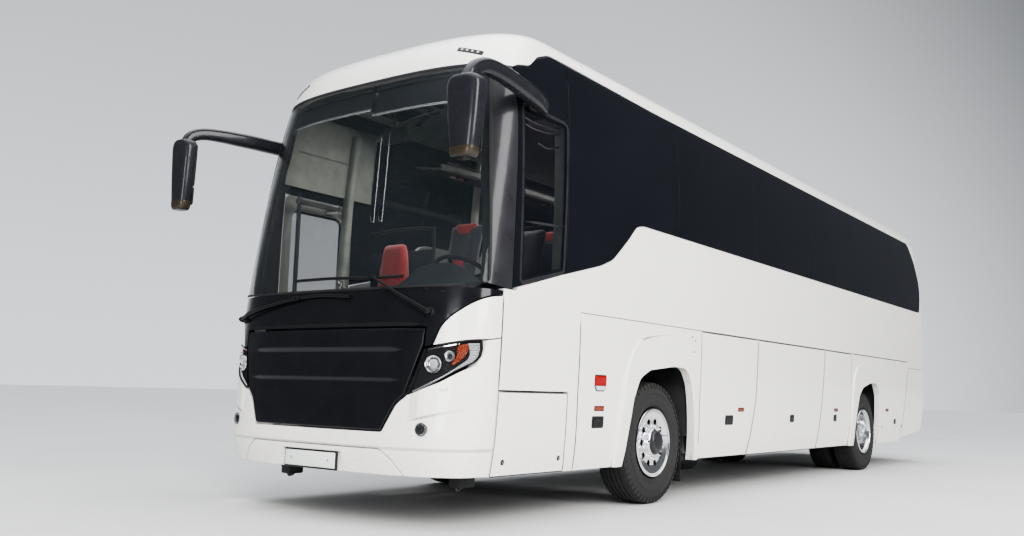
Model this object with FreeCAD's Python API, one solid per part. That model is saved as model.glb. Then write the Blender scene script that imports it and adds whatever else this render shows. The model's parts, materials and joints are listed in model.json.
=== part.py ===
import FreeCAD, Part
import os
import math

# ---------------------------------------------------------------- driving dimensions (mm)
# Working frame: front face at y = 0, rear towards +Y, +X is the driver's (left) side, Z up from the ground.
LENGTH = 12080.0
HALF_WIDTH = 1276.0    # over the wheel arch trims
WHEELBASE = 5950.0
Y_FRONT_AXLE = 2823.0
Y_REAR_AXLE = Y_FRONT_AXLE + WHEELBASE
TYRE_R = 522.0
TYRE_W = 292.0
RIM_R = 286.0
HUB_Z = TYRE_R
WALL = 46.0            # side wall and flap thickness
GLASS = 22.0           # double side glazing
SCREEN = 9.0           # laminated windscreen
SEAM = 10.0            # panel gap of moving panels
FLOOR_Z = 1440.0
CAB_Z = 1000.0
HOLD_Z = 430.0
KINGPIN_X = 930.0
Y_SHIFT = 5887.9       # moves the working frame so that the origin is under the middle

V = FreeCAD.Vector

# Surface tables: height, half width, front face at the centre line, rear face at the centre line
Z_T = [300, 340, 520, 650, 840, 1100, 1300, 1620, 2000, 2400, 2800, 3100, 3300, 3400, 3480, 3550, 3610, 3655, 3690, 3715]
A_T = [1186, 1193, 1222, 1234, 1246, 1258, 1264, 1268, 1268, 1264, 1250, 1228, 1206, 1192, 1176, 1150, 1105, 1035, 920, 720]
F_T = [36, 30, 0, 0, 15, 35, 50, 85, 140, 210, 288, 352, 400, 432, 485, 565, 680, 830, 1040, 1320]
R_T = [11880, 11900, 11960, 12010, 12050, 12075, 12080, 12080, 12075, 12060, 12020, 11965, 11915, 11880, 11840, 11780, 11690, 11560, 11370, 11100]
FRONT_DEPTH = 500.0
REAR_DEPTH = 300.0


def tab(t, z):
    if z <= Z_T[0]:
        return float(t[0])
    if z >= Z_T[-1]:
        return float(t[-1])
    for i in range(len(Z_T) - 1):
        if z <= Z_T[i + 1]:
            break

    def slope(k):
        if k <= 0:
            return (t[1] - t[0]) / (Z_T[1] - Z_T[0])
        if k >= len(Z_T) - 1:
            return (t[-1] - t[-2]) / (Z_T[-1] - Z_T[-2])
        return (t[k + 1] - t[k - 1]) / (Z_T[k + 1] - Z_T[k - 1])
    h = Z_T[i + 1] - Z_T[i]
    s = (z - Z_T[i]) / h
    m0, m1 = slope(i) * h, slope(i + 1) * h
    return (2 * s ** 3 - 3 * s ** 2 + 1) * t[i] + (s ** 3 - 2 * s ** 2 + s) * m0 + (-2 * s ** 3 + 3 * s ** 2) * t[i + 1] + (s ** 3 - s ** 2) * m1


def offset_curve(t, inset, sign):
    """profile (value, z) moved inwards by inset; sign +1 for half width and rear, -1 for the front face"""
    pts = []
    n = 260
    for i in range(n + 1):
        z = Z_T[0] + (Z_T[-1] - Z_T[0]) * i / n
        dv = (tab(t, z + 2) - tab(t, z - 2)) / 4.0
        ln = math.hypot(1.0, dv)
        # outward normal is (sign, -dv * sign) in (value, z)
        pts.append((tab(t, z) - sign * inset / ln, z + sign * dv * inset / ln))
    return pts


def at(pts, z):
    if z <= pts[0][1]:
        (v0, z0), (v1, z1) = pts[0], pts[1]
        return v0 + (v1 - v0) * (z - z0) / (z1 - z0)
    for (v0, z0), (v1, z1) in zip(pts, pts[1:]):
        if z0 <= z <= z1 and z1 > z0:
            return v0 + (v1 - v0) * (z - z0) / (z1 - z0)
    return pts[-1][0]


def outline(z, a, f, r, bf, br, zz=None):
    """closed plan outline at one height: bowed front, straight sides, bowed rear"""
    n = 3.0
    zz = z if zz is None else zz
    m = 15

    def arc(y0, depth, sgn):
        fine = []
        for k in range(-200, 201):
            t = k / 200.0 * math.pi / 2
            c, s = math.cos(t), math.sin(t)
            fine.append((a * math.copysign(abs(s) ** (2 / n), s), y0 + sgn * depth * (1 - abs(c) ** (2 / n))))
        run = [0.0]
        for p, q in zip(fine, fine[1:]):
            run.append(run[-1] + math.hypot(q[0] - p[0], q[1] - p[1]))
        out = []
        j = 0
        for k in range(2 * m + 1):
            want = run[-1] * k / (2 * m)
            while j < len(run) - 2 and run[j + 1] < want:
                j += 1
            w = (want - run[j]) / (run[j + 1] - run[j])
            out.append(V(fine[j][0] + w * (fine[j + 1][0] - fine[j][0]), fine[j][1] + w * (fine[j + 1][1] - fine[j][1]), zz))
        return out
    front = arc(f, bf, 1)
    rear = arc(r, br, -1)
    rear.reverse()
    e = []
    for pts in (front, rear):
        step = 30.0 if pts[1].y > pts[0].y else -30.0
        poles = [pts[0], pts[0] + V(0, step, 0)] + pts[1:-1] + [pts[-1] + V(0, step, 0), pts[-1]]
        c = Part.BSplineCurve()
        c.buildFromPoles(poles, False, 3)
        e.append(c.toShape())
    l1 = Part.makeLine(front[-1], rear[0])
    l2 = Part.makeLine(rear[-1], front[0])
    return Part.Wire([e[0], l1, e[1], l2])


LEVELS = [300, 420, 520, 650, 840, 1100, 1400, 1700, 2050, 2400, 2750, 3050, 3280, 3400, 3480, 3550, 3610, 3655, 3690, 3715]


def body(inset):
    ca, cf, cr = offset_curve(A_T, inset, 1), offset_curve(F_T, inset, -1), offset_curve(R_T, inset, 1)
    top = ca[-1][1]
    wires = []
    for z in LEVELS:
        if inset > 0:
            z = 280 + (z - 300) * (top - 280) / (Z_T[-1] - 300)
        wires.append(outline(z, at(ca, z), at(cf, z), at(cr, z), FRONT_DEPTH - 0.3 * inset, REAR_DEPTH - 0.3 * inset))
    s = Part.makeLoft(wires, True, False)
    if s.Volume < 0:
        s.reverse()
    return s


# ---------------------------------------------------------------- small helpers
def box(x0, x1, y0, y1, z0, z1):
    return Part.makeBox(x1 - x0, y1 - y0, z1 - z0, V(x0, y0, z0))


def cyl(p, q, r):
    p, q = V(*p), V(*q)
    d = q - p
    return Part.makeCylinder(r, d.Length, p, d)


def tube(p, q, r, ri):
    return cyl(p, q, r).cut(cyl(p, q, ri))


def rounded(points, to3, radius=0.0):
    """closed wire through 2D points (x, y[, r]) with arcs of radius r at the corners"""
    n = len(points)
    segs = []
    ends = []
    for i in range(n):
        p0, p1, p2 = points[i - 1], points[i], points[(i + 1) % n]
        r = p1[2] if len(p1) > 2 else radius
        ax, ay = p0[0] - p1[0], p0[1] - p1[1]
        bx, by = p2[0] - p1[0], p2[1] - p1[1]
        la, lb = math.hypot(ax, ay), math.hypot(bx, by)
        ax, ay, bx, by = ax / la, ay / la, bx / lb, by / lb
        cosang = max(-1.0, min(1.0, ax * bx + ay * by))
        ang = math.acos(cosang)
        if r <= 0 or ang > math.pi - 1e-3:
            ends.append(((p1[0], p1[1]), None, (p1[0], p1[1])))
            continue
        t = r / math.tan(ang / 2)
        tmax = 0.49 * min(la, lb)
        if t > tmax:
            t = tmax
            r = t * math.tan(ang / 2)
        s = (p1[0] + ax * t, p1[1] + ay * t)
        e = (p1[0] + bx * t, p1[1] + by * t)
        mx, my = ax + bx, ay + by
        lm = math.hypot(mx, my)
        d = r / math.sin(ang / 2) - r
        m = (p1[0] + mx / lm * d, p1[1] + my / lm * d)
        ends.append((s, m, e))
    for i in range(n):
        s, m, e = ends[i]
        if m is not None:
            segs.append(Part.Arc(V(*to3(*s)), V(*to3(*m)), V(*to3(*e))).toShape())
        s2 = ends[(i + 1) % n][0]
        if math.hypot(s2[0] - e[0], s2[1] - e[1]) > 1e-4:
            segs.append(Part.makeLine(V(*to3(*e)), V(*to3(*s2))))
    return Part.Wire(segs)


def prism_x(pts, x0, x1, r=0.0):
    w = rounded(pts, lambda a, b: (x0, a, b), r)
    return Part.Face(w).extrude(V(x1 - x0, 0, 0))


def prism_y(pts, y0, y1, r=0.0):
    w = rounded(pts, lambda a, b: (a, y0, b), r)
    return Part.Face(w).extrude(V(0, y1 - y0, 0))


def prism_z(pts, z0, z1, r=0.0):
    w = rounded(pts, lambda a, b: (a, b, z0), r)
    return Part.Face(w).extrude(V(0, 0, z1 - z0))


def lathe_x(profile, x0, y, z, sgn=1.0):
    """revolve (x, r) profile about an axis along X at (y, z)"""
    pts = [V(x0 + sgn * px, y, z + pr) for px, pr in profile]
    w = Part.makePolygon(pts + [pts[0]])
    s = Part.Face(w).revolve(V(x0, y, z), V(1, 0, 0), 360)
    if s.Volume < 0:
        s.reverse()
    return s


def mx(s):
    return s.mirror(V(0, 0, 0), V(1, 0, 0))


def both(s):
    return [s, mx(s)]


def solids(s):
    return [x for x in s.Solids if x.Volume > 2000.0]


PARTS = {}


def put(name, *shapes):
    out = PARTS.setdefault(name, [])
    for s in shapes:
        if isinstance(s, (list, tuple)):
            for q in s:
                out.extend(solids(q))
        else:
            out.extend(solids(s))


# ---------------------------------------------------------------- body shell
OUT = body(0.0)
INW = body(WALL)
ING = body(GLASS)
INS = body(SCREEN)
SHELL = OUT.cut(INW)
BIG = 4000.0
left_half = box(700, 1600, 300, 12200, 250, 3560)
L_SHELL = SHELL.common(left_half)
L_GLASS = OUT.cut(ING).common(box(700, 1600, 500, 12200, 1500, 3560))
R_SHELL = mx(L_SHELL)
R_GLASS = mx(L_GLASS)
F_SHELL = SHELL.common(box(-1600, 1600, -100, 1100, 250, 3500))
B_SHELL = SHELL.common(box(-1600, 1600, 11400, 12300, 250, 3600))

# seam lines on the side, as y at a height
def seam_front(z):
    return 526.0 + (z - 360.0) * 0.013


def seam(y_low, y_mid, y_high):
    """panel seam: y at z = 360, 900 and 1535"""
    def f(z):
        if z < 900:
            return y_low + (y_mid - y_low) * (z - 360) / 540.0
        return y_mid + (y_high - y_mid) * (z - 900) / 635.0
    return f


S_A = seam(1548, 1524, 1524)
S_B = seam(3655, 3616, 3626)
S_C = seam(4805, 4950, 4990)
S_D = seam(6880, 6985, 7075)
S_E = seam(8072, 8110, 8110)
S_F = seam(10500, 10700, 10890)
Z_LOW = 345.0
Z_FLAP = 1535.0
Z_WAIST = 2366.0
Z_GLASS_TOP = 3486.0    # at the front corner
Z_GLASS_TOP_R = 3452.0  # from the second row of seats rearwards


def band(f0, f1, z0, z1, g0=0.0, g1=0.0):
    """side outline between two seams, in (y, z)"""
    zs = [z0] + [z for z in (900.0,) if z0 < z < z1] + [z1]
    lo = [(f0(z) + g0, z) for z in zs]
    hi = [(f1(z) - g1, z) for z in zs]
    return hi + lo[::-1]


H = SEAM / 2
fix = lambda v: (lambda z: v)

# glazing outline on the side in (y, z): lower edge dips towards the front, rear edge slants
GLAZE_LOW = [(700, 1665), (1235, 1800), (1800, 1940), (1990, 2010), (2240, 2210), (2370, 2331), (2470, Z_WAIST)]
glaze = [(640, 1640, 0), (1235, 1800, 900), (1800, 1940, 700), (1990, 2010, 300), (2240, 2210, 600), (2385, 2345, 150), (2500, Z_WAIST, 60),
         (11640, Z_WAIST, 90), (11760, 2760, 900), (11560, 3180, 700), (11300, Z_GLASS_TOP_R, 160), (2800, Z_GLASS_TOP_R, 0), (1150, Z_GLASS_TOP - 6, 260), (980, 3410, 60), (860, 3305, 120), (740, 3284, 40),
         (690, 3270, 0), (700, 2900, 0), (660, 2200, 0)]


def glaze_prism(g):
    # g > 0 grows the outline by moving every point away from the middle of the band
    pts = []
    n = len(glaze)
    area = sum(glaze[i][0] * glaze[(i + 1) % n][1] - glaze[(i + 1) % n][0] * glaze[i][1] for i in range(n))
    sg = 1.0 if area > 0 else -1.0
    for i in range(n):
        a, b, c = glaze[i - 1], glaze[i], glaze[(i + 1) % n]
        d1 = (b[0] - a[0], b[1] - a[1])
        d2 = (c[0] - b[0], c[1] - b[1])
        l1, l2 = math.hypot(*d1), math.hypot(*d2)
        n1 = (sg * d1[1] / l1, -sg * d1[0] / l1)
        n2 = (sg * d2[1] / l2, -sg * d2[0] / l2)
        k = 1 + n1[0] * n2[0] + n1[1] * n2[1]
        pts.append((b[0] + g * (n1[0] + n2[0]) / k, b[1] + g * (n1[1] + n2[1]) / k, b[2] + (g if b[2] > 0 else 0)))
    return prism_x(pts, 850, 1400)


GLAZE_IN = glaze_prism(0.0)
GLAZE_OUT = glaze_prism(6.0)

# roof: everything above the glass line, dome over the windscreen included
roof_pts = [(-50, 3800), (-50, 3268), (690, 3271), (738, 3297, 40), (857, 3319, 110), (974, 3424, 60), (1146, 3493, 262), (1400, Z_GLASS_TOP + 4), (2800, Z_GLASS_TOP_R + 9), (11940, Z_GLASS_TOP_R + 9), (11940, 3800)]
ROOF_CUT = prism_x(roof_pts, -1500, 1500)
INR = body(60.0)
roof = OUT.cut(INR).common(ROOF_CUT)
hatches = []
for yh in (2050.0, 9000.0):
    roof = roof.cut(box(-400, 400, yh - 400, yh + 400, 3500, 3900))
    hatches.append(box(-392, 392, yh - 392, yh + 392, 3640, 3712))
    hatches[-1] = hatches[-1].makeFillet(30, [e for e in hatches[-1].Edges if abs(e.Length - 72) < 1])
put("roof", roof)
put("roof_hatches", hatches)

# side walls -------------------------------------------------------
HATCH_TOP = 930.0
HATCH_REAR = [(1390.0, 930.0), (1402.0, 508.0), (1422.0, 364.0)]


F_ARCH = [(2195, 200), (2290, 640, 200), (2352, 890, 200), (2450, 1065, 160), (2620, 1138, 200), (3060, 1184, 300), (3310, 1172, 140), (3404, 1040, 140), (3458, 820, 200), (3500, 560, 150), (3560, 200)]
R_ARCH = [(8212, 200), (8236, 560, 200), (8300, 790, 200), (8405, 1000, 160), (8560, 1105, 160), (8869, 1168, 300), (9190, 1180, 200), (9285, 1020, 160), (9310, 700, 100), (9310, 200)]
# raised arch trims, outer outlines at their proud face
F_TRIM = [(2130, 300), (2152, 563), (2198, 882), (2256, 1127), (2350, 1293), (2440, 1360), (2607, 1403), (2823, 1440), (3069, 1460), (3245, 1455), (3375, 1402), (3440, 1320), (3488, 1077), (3540, 700), (3584, 420), (3596, 300)]
R_TRIM = [(8060, 300), (8130, 800), (8205, 1190), (8262, 1290), (8343, 1361), (8480, 1408), (8655, 1438), (9023, 1462), (9150, 1448), (9254, 1394), (9330, 1240), (9376, 900), (9400, 300)]
TRIM_FACE = [(1150, 290), (1222, 290), (1232, 345), (1250, 480, 80), (1266, 720, 200), (1273, 950, 300), (1276, 1150, 300), (1276, 1540), (1150, 1540)]


def grow(poly, g):
    """outline with every corner moved outwards by g"""
    n = len(poly)
    area = sum(poly[i][0] * poly[(i + 1) % n][1] - poly[(i + 1) % n][0] * poly[i][1] for i in range(n))
    sg = 1.0 if area > 0 else -1.0
    out = []
    for i in range(n):
        a, b, c = poly[i - 1], poly[i], poly[(i + 1) % n]
        d1, d2 = (b[0] - a[0], b[1] - a[1]), (c[0] - b[0], c[1] - b[1])
        l1, l2 = math.hypot(*d1), math.hypot(*d2)
        n1, n2 = (sg * d1[1] / l1, -sg * d1[0] / l1), (sg * d2[1] / l2, -sg * d2[0] / l2)
        k = 1 + n1[0] * n2[0] + n1[1] * n2[1]
        out.append((b[0] + g * (n1[0] + n2[0]) / k, b[1] + g * (n1[1] + n2[1]) / k))
    return out


def arch_trim(poly, y0, y1):
    big = rounded(grow(poly, 22), lambda a, b: (1205, a, b), 60)
    small = rounded(grow(poly, 2), lambda a, b: (1285, a, b), 60)
    t = Part.makeLoft([big, small], True, True)
    return t.common(prism_y(TRIM_FACE, y0, y1))


TRIM_F = arch_trim(F_TRIM, 1900, 3700)
TRIM_R = arch_trim(R_TRIM, 7900, 9500)


def side_wall(sh, right):
    out = []
    cut_out = GLAZE_OUT if not right else mx(GLAZE_OUT)
    px = (lambda pts: prism_x(pts, 900, 1500)) if not right else (lambda pts: prism_x(pts, -1500, -900))
    low_l = Z_FLAP + 8
    top = Z_GLASS_TOP_R + 3
    if not right:
        # one long panel under the glass: front corner with the fixed strip behind the service hatch, waist, rear quarter
        waist = sh.common(px([(seam_front(HATCH_TOP) + 4, HATCH_TOP + 4), (HATCH_REAR[0][0] + 4, HATCH_TOP + 4), (HATCH_REAR[1][0] + 4, HATCH_REAR[1][1]), (HATCH_REAR[2][0] + 4, HATCH_REAR[2][1]),
                              (HATCH_REAR[2][0] + 3, Z_LOW), (S_A(Z_LOW) - 3, Z_LOW), (S_A(900) - 3, 900), (S_A(low_l) - 3, low_l), (10897, low_l), (10897, 1450), (11790, 1450), (11790, top),
                              (11000, top), (11000, 3266), (seam_front(1612) + 4, 3266), (seam_front(1612) + 4, 1612)])).cut(cut_out)
        waist = waist.cut(box(900, 1500, 300, 702, 1626, 3300))
        front = sh.common(px(band(S_A, S_B, Z_LOW, low_l - 6, 3, 4)))
        out += [waist]
    else:
        d1 = FD_Y1 + SEAM
        m0, m1 = MD_Y0 - SEAM, MD_Y1 + SEAM
        waist = sh.common(px([(d1, low_l), (m0, low_l), (m0, 3266), (d1, 3266)])).cut(cut_out)
        waist2 = sh.common(px([(m1, low_l), (10897, low_l), (10897, 1450), (11790, 1450), (11790, top), (11000, top), (11000, 3266), (m1, 3266)])).cut(cut_out)
        over = sh.common(px([(m0 + 3, MD_Z1 + SEAM), (m1 - 3, MD_Z1 + SEAM), (m1 - 3, 3266), (m0 + 3, 3266)])).cut(cut_out)
        front = sh.common(px([(d1, Z_LOW), (S_B(Z_LOW) - 4, Z_LOW), (S_B(900) - 4, 900), (S_B(1535) - 4, low_l - 6), (d1, low_l - 6)]))
        out += [waist, waist2, over]
    flip = mx if right else (lambda q: q)
    arch_zone = flip(prism_x([(q[0], q[1]) for q in band(S_A, S_B, Z_LOW, low_l - 6, 3, 4)], 900, 1500))
    front = front.fuse(flip(TRIM_F).common(arch_zone)).cut(px(F_ARCH)).removeSplitter()
    rear_band = px(band(S_E if not right else fix(MD_Y1 + SEAM), S_F, Z_LOW, low_l - 6, 3, 3))
    rear_arch = sh.common(rear_band).fuse(flip(TRIM_R).common(rear_band)).cut(px(R_ARCH)).removeSplitter()
    engine_side = sh.common(px([(S_F(420) + 3, 400), (11790, 480), (11790, 1444), (S_F(1444) + 3, 1444), (S_F(900) + 3, 900)]))
    out += [front, rear_arch, engine_side]
    return out


FD_Y0, FD_Y1, FD_Z0, FD_Z1 = 640.0, 1440.0, 352.0, 2560.0
MD_Y0, MD_Y1, MD_Z0, MD_Z1 = 7190.0, 7990.0, 352.0, 2340.0

lw = side_wall(L_SHELL, False)
rw = side_wall(R_SHELL, True)
put("side_walls", lw, rw)

# side glazing: panes between slanted joints
joints_y = [1290.0, 3130.0, 4905.0, 6600.0, 8345.0, 10150.0]


def pane_cut(y0, y1):
    return prism_x([(y0, 1500), (y1, 1500), (y1 + 100 * (y1 < 11700), 3600), (y0 + 100 * (y0 > 1200), 3600)], 850, 1400)


edges_y = [600.0] + joints_y + [11900.0]
GL = L_GLASS.common(GLAZE_IN)
for i in range(len(edges_y) - 1):
    g = GL.common(pane_cut(edges_y[i] + 4, edges_y[i + 1] - 4))
    put("side_glazing", g)
    gr = mx(g)
    if i == 0:
        # the doorway takes the front pane of the door side, above it a short pane stays
        gr = mx(GL.common(box(800, 1500, FD_Y0 - SEAM, FD_Y1 + 2, FD_Z1 + SEAM, 3600)))
    elif i == 1:
        gr = gr.cut(box(-1500, -800, 500, FD_Y1 + SEAM, 1000, 3700))
    put("side_glazing", gr)

# inner posts and cant rail behind the glass
posts = []
for yj in joints_y[1:] + [11385.0]:
    pts = []
    for z in (1560, 2000, 2400, 2800, 3100, 3300, 3420):
        pts.append((tab(A_T, z) - WALL - 8, z))
    poly = pts + [(p[0] - 55, p[1]) for p in pts[::-1]]
    y0 = yj + 45 - 30
    posts.append(prism_y(poly, y0, y0 + 60))
rail = prism_y([(tab(A_T, 3430) - WALL - 16, 3430), (tab(A_T, 3500) - WALL - 34, 3466), (1030, 3466), (1030, 3430)], 1350, 11470)
put("body_frame", [q for p in posts for q in both(p)], both(rail))

# windscreen, corner pillars, cowl and flap of the front ----------
ws_side = [(-60, 1618), (80, 1618), (395, 1655), (410, 1900), (438, 2400), (520, 3056), (548, 3258), (-60, 3258)]
WS = OUT.cut(INS).common(box(-1600, 1600, -100, 1100, 1500, 3500)).common(prism_x(ws_side, -1500, 1500))
put("windscreen", WS)
pil = [(402, 1650), (seam_front(1640) + 60, 1630), (634, 1640), (654, 2200), (694, 2900), (684, 3262), (556, 3262), (527, 3056), (445, 2400), (417, 1900)]
put("pillar_covers", F_SHELL.common(prism_x(pil, 850, 1500)), F_SHELL.common(prism_x([(p[0], p[1]) for p in pil], -1500, -850)).cut(box(-1500, -900, FD_Y0 - SEAM, 900, 300, FD_Z1 + SEAM)))

# the door side has no panel ahead of the front door, so the fascia reaches the doorway there
fascia = F_SHELL.common(box(-1500, 1500, -100, FD_Y0 - SEAM, 352, 1612)).cut(prism_x([(seam_front(300) - 4, 300), (800, 300), (800, 1700), (seam_front(1700) - 4, 1700)], 900, 1500))
# outline of the dark centre: cheeks, headlamp inner edge, elbows, lower edge, in (x, z), right half
DARK = [(0, 636), (655, 641, 30), (752, 826, 140), (824, 884, 30), (925, 1190, 20), (984, 1228, 20), (1026, 1352, 200), (1082, 1421, 160), (1183, 1512, 220), (1262, 1580, 0), (1300, 1640, 0), (0, 1640)]


def sym(pts):
    return pts[1:-1] + [(-p[0],) + tuple(p[1:]) for p in pts[1:-1][::-1]]


def sym_prism(pts, y0, y1):
    p = sym(pts)
    return prism_y(p, y0, y1)


HEAD = [(932, 1194, 10), (1097, 1232, 300), (1300, 1274, 0), (1300, 1150, 0), (1228, 1110, 60), (1053, 988, 300), (834, 884, 20)]
HEAD_END = [(-300, 800), (240, 800), (300, 1060), (329, 1114, 60), (363, 1162, 60), (397, 1264), (402, 1320), (-300, 1320)]
dark = sym_prism(DARK, -200, 900)
head_l = prism_y(HEAD, -200, 900).common(prism_x(HEAD_END, 700, 1500))
# bumper with cheeks
HEAD_OUT = [(915, 1206, 10), (1097, 1242, 300), (1320, 1288, 0), (1320, 1150, 0), (1236, 1100, 60), (1058, 976, 300), (808, 868, 20)]
head_o = prism_y(HEAD_OUT, -200, 900).common(prism_x(grow([(q[0], q[1]) for q in HEAD_END], 9), 700, 1500))
# gap between bumper and cheek, from the lamp's upper corner back to the side
cheek_gap = prism_x([(380, 1258), (461, 1270), (600, 1292), (680, 1305), (680, 1313), (600, 1300), (461, 1278), (380, 1266)], 1100, 1500)
INSERT = [(0, 518), (640, 520, 60), (735, 455, 90), (830, 330, 0), (0, 330)]
ins = sym_prism([(0, 0)] + INSERT[1:-1] + [(0, 0)], -200, 700)
DARK_OUT = [(0, 628), (662, 633, 30), (762, 822, 140), (834, 878, 30), (935, 1186, 20), (994, 1224, 20), (1036, 1350, 200), (1090, 1414, 160), (1189, 1504, 220), (1268, 1572, 0), (1310, 1640, 0), (0, 1640)]
dark_o = sym_prism(DARK_OUT, -200, 900)
bumper = fascia.cut(dark_o).cut(head_o).cut(mx(head_o)).cut(cheek_gap).cut(mx(cheek_gap))
INS_OUT = [(0, 518), (645, 525, 62), (741, 459, 92), (838, 330, 0), (0, 330)]
ins_o = sym_prism([(0, 0)] + [(p[0], p[1]) + tuple(p[2:]) for p in INS_OUT[1:-1]] + [(0, 0)], -200, 700)
lower = fascia.common(ins)
plate_hole = box(-300, 300, -60, 26, 340, 486)
lower = lower.cut(plate_hole)
bumper = bumper.cut(ins_o)
put("front_bumper", [q for q in solids(bumper) if q.CenterOfMass.z < 1100], lower)
put("front_corner_panels", [q for q in solids(bumper) if q.CenterOfMass.z > 1100])
put("headlights", both(F_SHELL.common(head_l)))
MASK_TOP = 1335.0
flap_mask = fascia.common(sym_prism([(0, 0), (649, 645, 28), (744, 832, 138), (812, 890, 30), (905, 1172, 20), (925, 1230, 60), (925, MASK_TOP, 0), (0, 0)], -200, 700))
put("front_flap", flap_mask)
cowl = fascia.common(dark).cut(box(-937, 937, -200, 600, 300, MASK_TOP + 10)).cut(head_o).cut(mx(head_o))
put("front_cowl_panel", cowl)
put("number_plates", box(-260, 260, 14, 20, 363, 475))

# driver side service hatch and luggage flaps ----------------------
def flap(sh_, f0, f1, z0, z1, right=False):
    pts = band(f0, f1, z0, z1, H, H)
    pr = prism_x(pts, 900, 1500) if not right else prism_x(pts, -1500, -900)
    return (R_SHELL if right else L_SHELL).common(pr)


put("service_hatch", L_SHELL.common(prism_x([(seam_front(Z_LOW) + 4, Z_LOW), (HATCH_REAR[2][0] - 5, Z_LOW), (HATCH_REAR[2][0] - 4, HATCH_REAR[2][1]), (HATCH_REAR[1][0] - 4, HATCH_REAR[1][1]), (HATCH_REAR[0][0] - 4, HATCH_TOP - 5), (seam_front(HATCH_TOP) + 4, HATCH_TOP - 5)], 900, 1500)))
put("left_luggage_flap_1", flap(L_SHELL, S_B, S_C, Z_LOW, Z_FLAP))
put("left_luggage_flap_2", flap(L_SHELL, S_C, S_D, Z_LOW, Z_FLAP))
put("left_luggage_flap_3", flap(L_SHELL, S_D, S_E, Z_LOW, Z_FLAP))
S_RM = seam(5200, 5330, 5400)
put("right_luggage_flap_1", flap(L_SHELL, S_B, S_RM, Z_LOW, Z_FLAP, True))
put("right_luggage_flap_2", flap(L_SHELL, S_RM, fix(MD_Y0 - SEAM - 4), Z_LOW, Z_FLAP, True))

# doors: outer leaf with a glass light, carried by two swinging arms on a post
ARM_L = 450.0


def door(y0, y1, z0, z1, light, name):
    leaf = R_SHELL.common(prism_x([(y0, z0, 20), (y1, z0, 20), (y1, z1, 60), (y0, z1, 60)], -1500, -900))
    ly0, ly1, lz0, lz1 = light
    opening = prism_x([(ly0, lz0, 70), (ly1, lz0, 70), (ly1, lz1, 90), (ly0, lz1, 90)], -1500, -900)
    glass = mx(OUT.cut(ING).common(box(900, 1500, y0, y1, z0, z1))).common(prism_x([(ly0 + 3, lz0 + 3, 67), (ly1 - 3, lz0 + 3, 67), (ly1 - 3, lz1 - 3, 87), (ly0 + 3, lz1 - 3, 87)], -1500, -900))
    put(name, leaf.cut(opening))
    put(name + "_glass", glass)


door(FD_Y0, FD_Y1, FD_Z0, FD_Z1, (FD_Y0 + 95, FD_Y1 - 95, 980, FD_Z1 - 110), "front_door")
door(MD_Y0, MD_Y1, MD_Z0, MD_Z1, (MD_Y0 + 95, MD_Y1 - 95, 1180, MD_Z1 - 110), "middle_door")
PX = -1112.0


def door_arms(name, yp, sgn, z_arm):
    """post at yp, arms reach ARM_L along sgn*Y to the leaf pins"""
    yq = yp + sgn * ARM_L
    s = [cyl((PX, yp, 640), (PX, yp, z_arm + 60), 19)]
    for z in (700.0, z_arm):
        a = prism_z([(PX - 16, yp), (PX + 16, yp), (PX + 16, yq), (PX - 16, yq)] if sgn > 0 else [(PX - 16, yq), (PX + 16, yq), (PX + 16, yp), (PX - 16, yp)], z, z + 36)
        s.append(a)
        s.append(cyl((PX, yp, z), (PX, yp, z + 36), 30))
        s.append(cyl((PX, yq, z), (PX, yq, z + 36), 26))
    u = s[0].multiFuse(s[1:]).removeSplitter()
    put(name, u)
    # brackets on the leaf, one above and one below each arm
    br = []
    for z in (700.0, z_arm):
        for zz in (z - 16, z + 38):
            b = prism_z([(PX + 20, yq - 26), (PX + 20, yq + 26), (-(tab(A_T, zz) - WALL) - 12, yq + 40), (-(tab(A_T, zz) - WALL) - 12, yq - 40)], zz, zz + 14)
            br.append(b)
    return br


fd_br = door_arms("front_door_arms", FD_Y0 + 76, 1, 2482.0)
md_br = door_arms("middle_door_arms", MD_Y1 - 76, -1, 2256.0)
for nm, br in (("front_door", fd_br), ("middle_door", md_br)):
    u = PARTS[nm][0].multiFuse(br).removeSplitter()
    PARTS[nm] = solids(u)

# ---------------------------------------------------------------- rear
tail_pts = [(1010, 900, 30), (1150, 900, 40), (1175, 1500, 60), (1085, 1640, 60), (1010, 1500, 60)]
tail = prism_y(tail_pts, 11500, 12300)
tail_o = prism_y([(1002, 892, 34), (1158, 892, 44), (1183, 1502, 64), (1087, 1652, 64), (1002, 1504, 64)], 11500, 12300)
LID_TOP, LID_LOW, LID_W = 2040.0, 770.0, 930.0
rear_zone = B_SHELL.common(box(-1600, 1600, 11500, 12300, 250, Z_GLASS_TOP_R + 3))
rw_side = prism_x([(11796, 700), (12300, 700), (12300, Z_GLASS_TOP), (11796, Z_GLASS_TOP)], -1600, 1600)
lid_hole = prism_y([(-LID_W, 700), (LID_W, 700), (LID_W, LID_TOP + 10), (-LID_W, LID_TOP + 10)], 11000, 12400)
win = [(-900, 2330, 60), (900, 2330, 60), (860, 3200, 120), (-860, 3200, 120)]
win_hole = prism_y(win, 11000, 12400)
rear_wall = rear_zone.common(rw_side).cut(lid_hole).cut(win_hole).cut(tail_o).cut(mx(tail_o)).cut(GLAZE_OUT).cut(mx(GLAZE_OUT))
put("rear_wall", rear_wall)
put("rear_window", OUT.cut(ING).common(box(-1600, 1600, 11400, 12300, 2200, 3400)).common(prism_y([(-896, 2334, 58), (896, 2334, 58), (856, 3196, 118), (-856, 3196, 118)], 11000, 12400)))
put("tail_lights", both(B_SHELL.common(tail)))
put("engine_lid", B_SHELL.common(prism_y([(-LID_W + 8, LID_LOW), (LID_W - 8, LID_LOW), (LID_W - 8, LID_TOP), (-LID_W + 8, LID_TOP)], 11500, 12300)))
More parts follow.
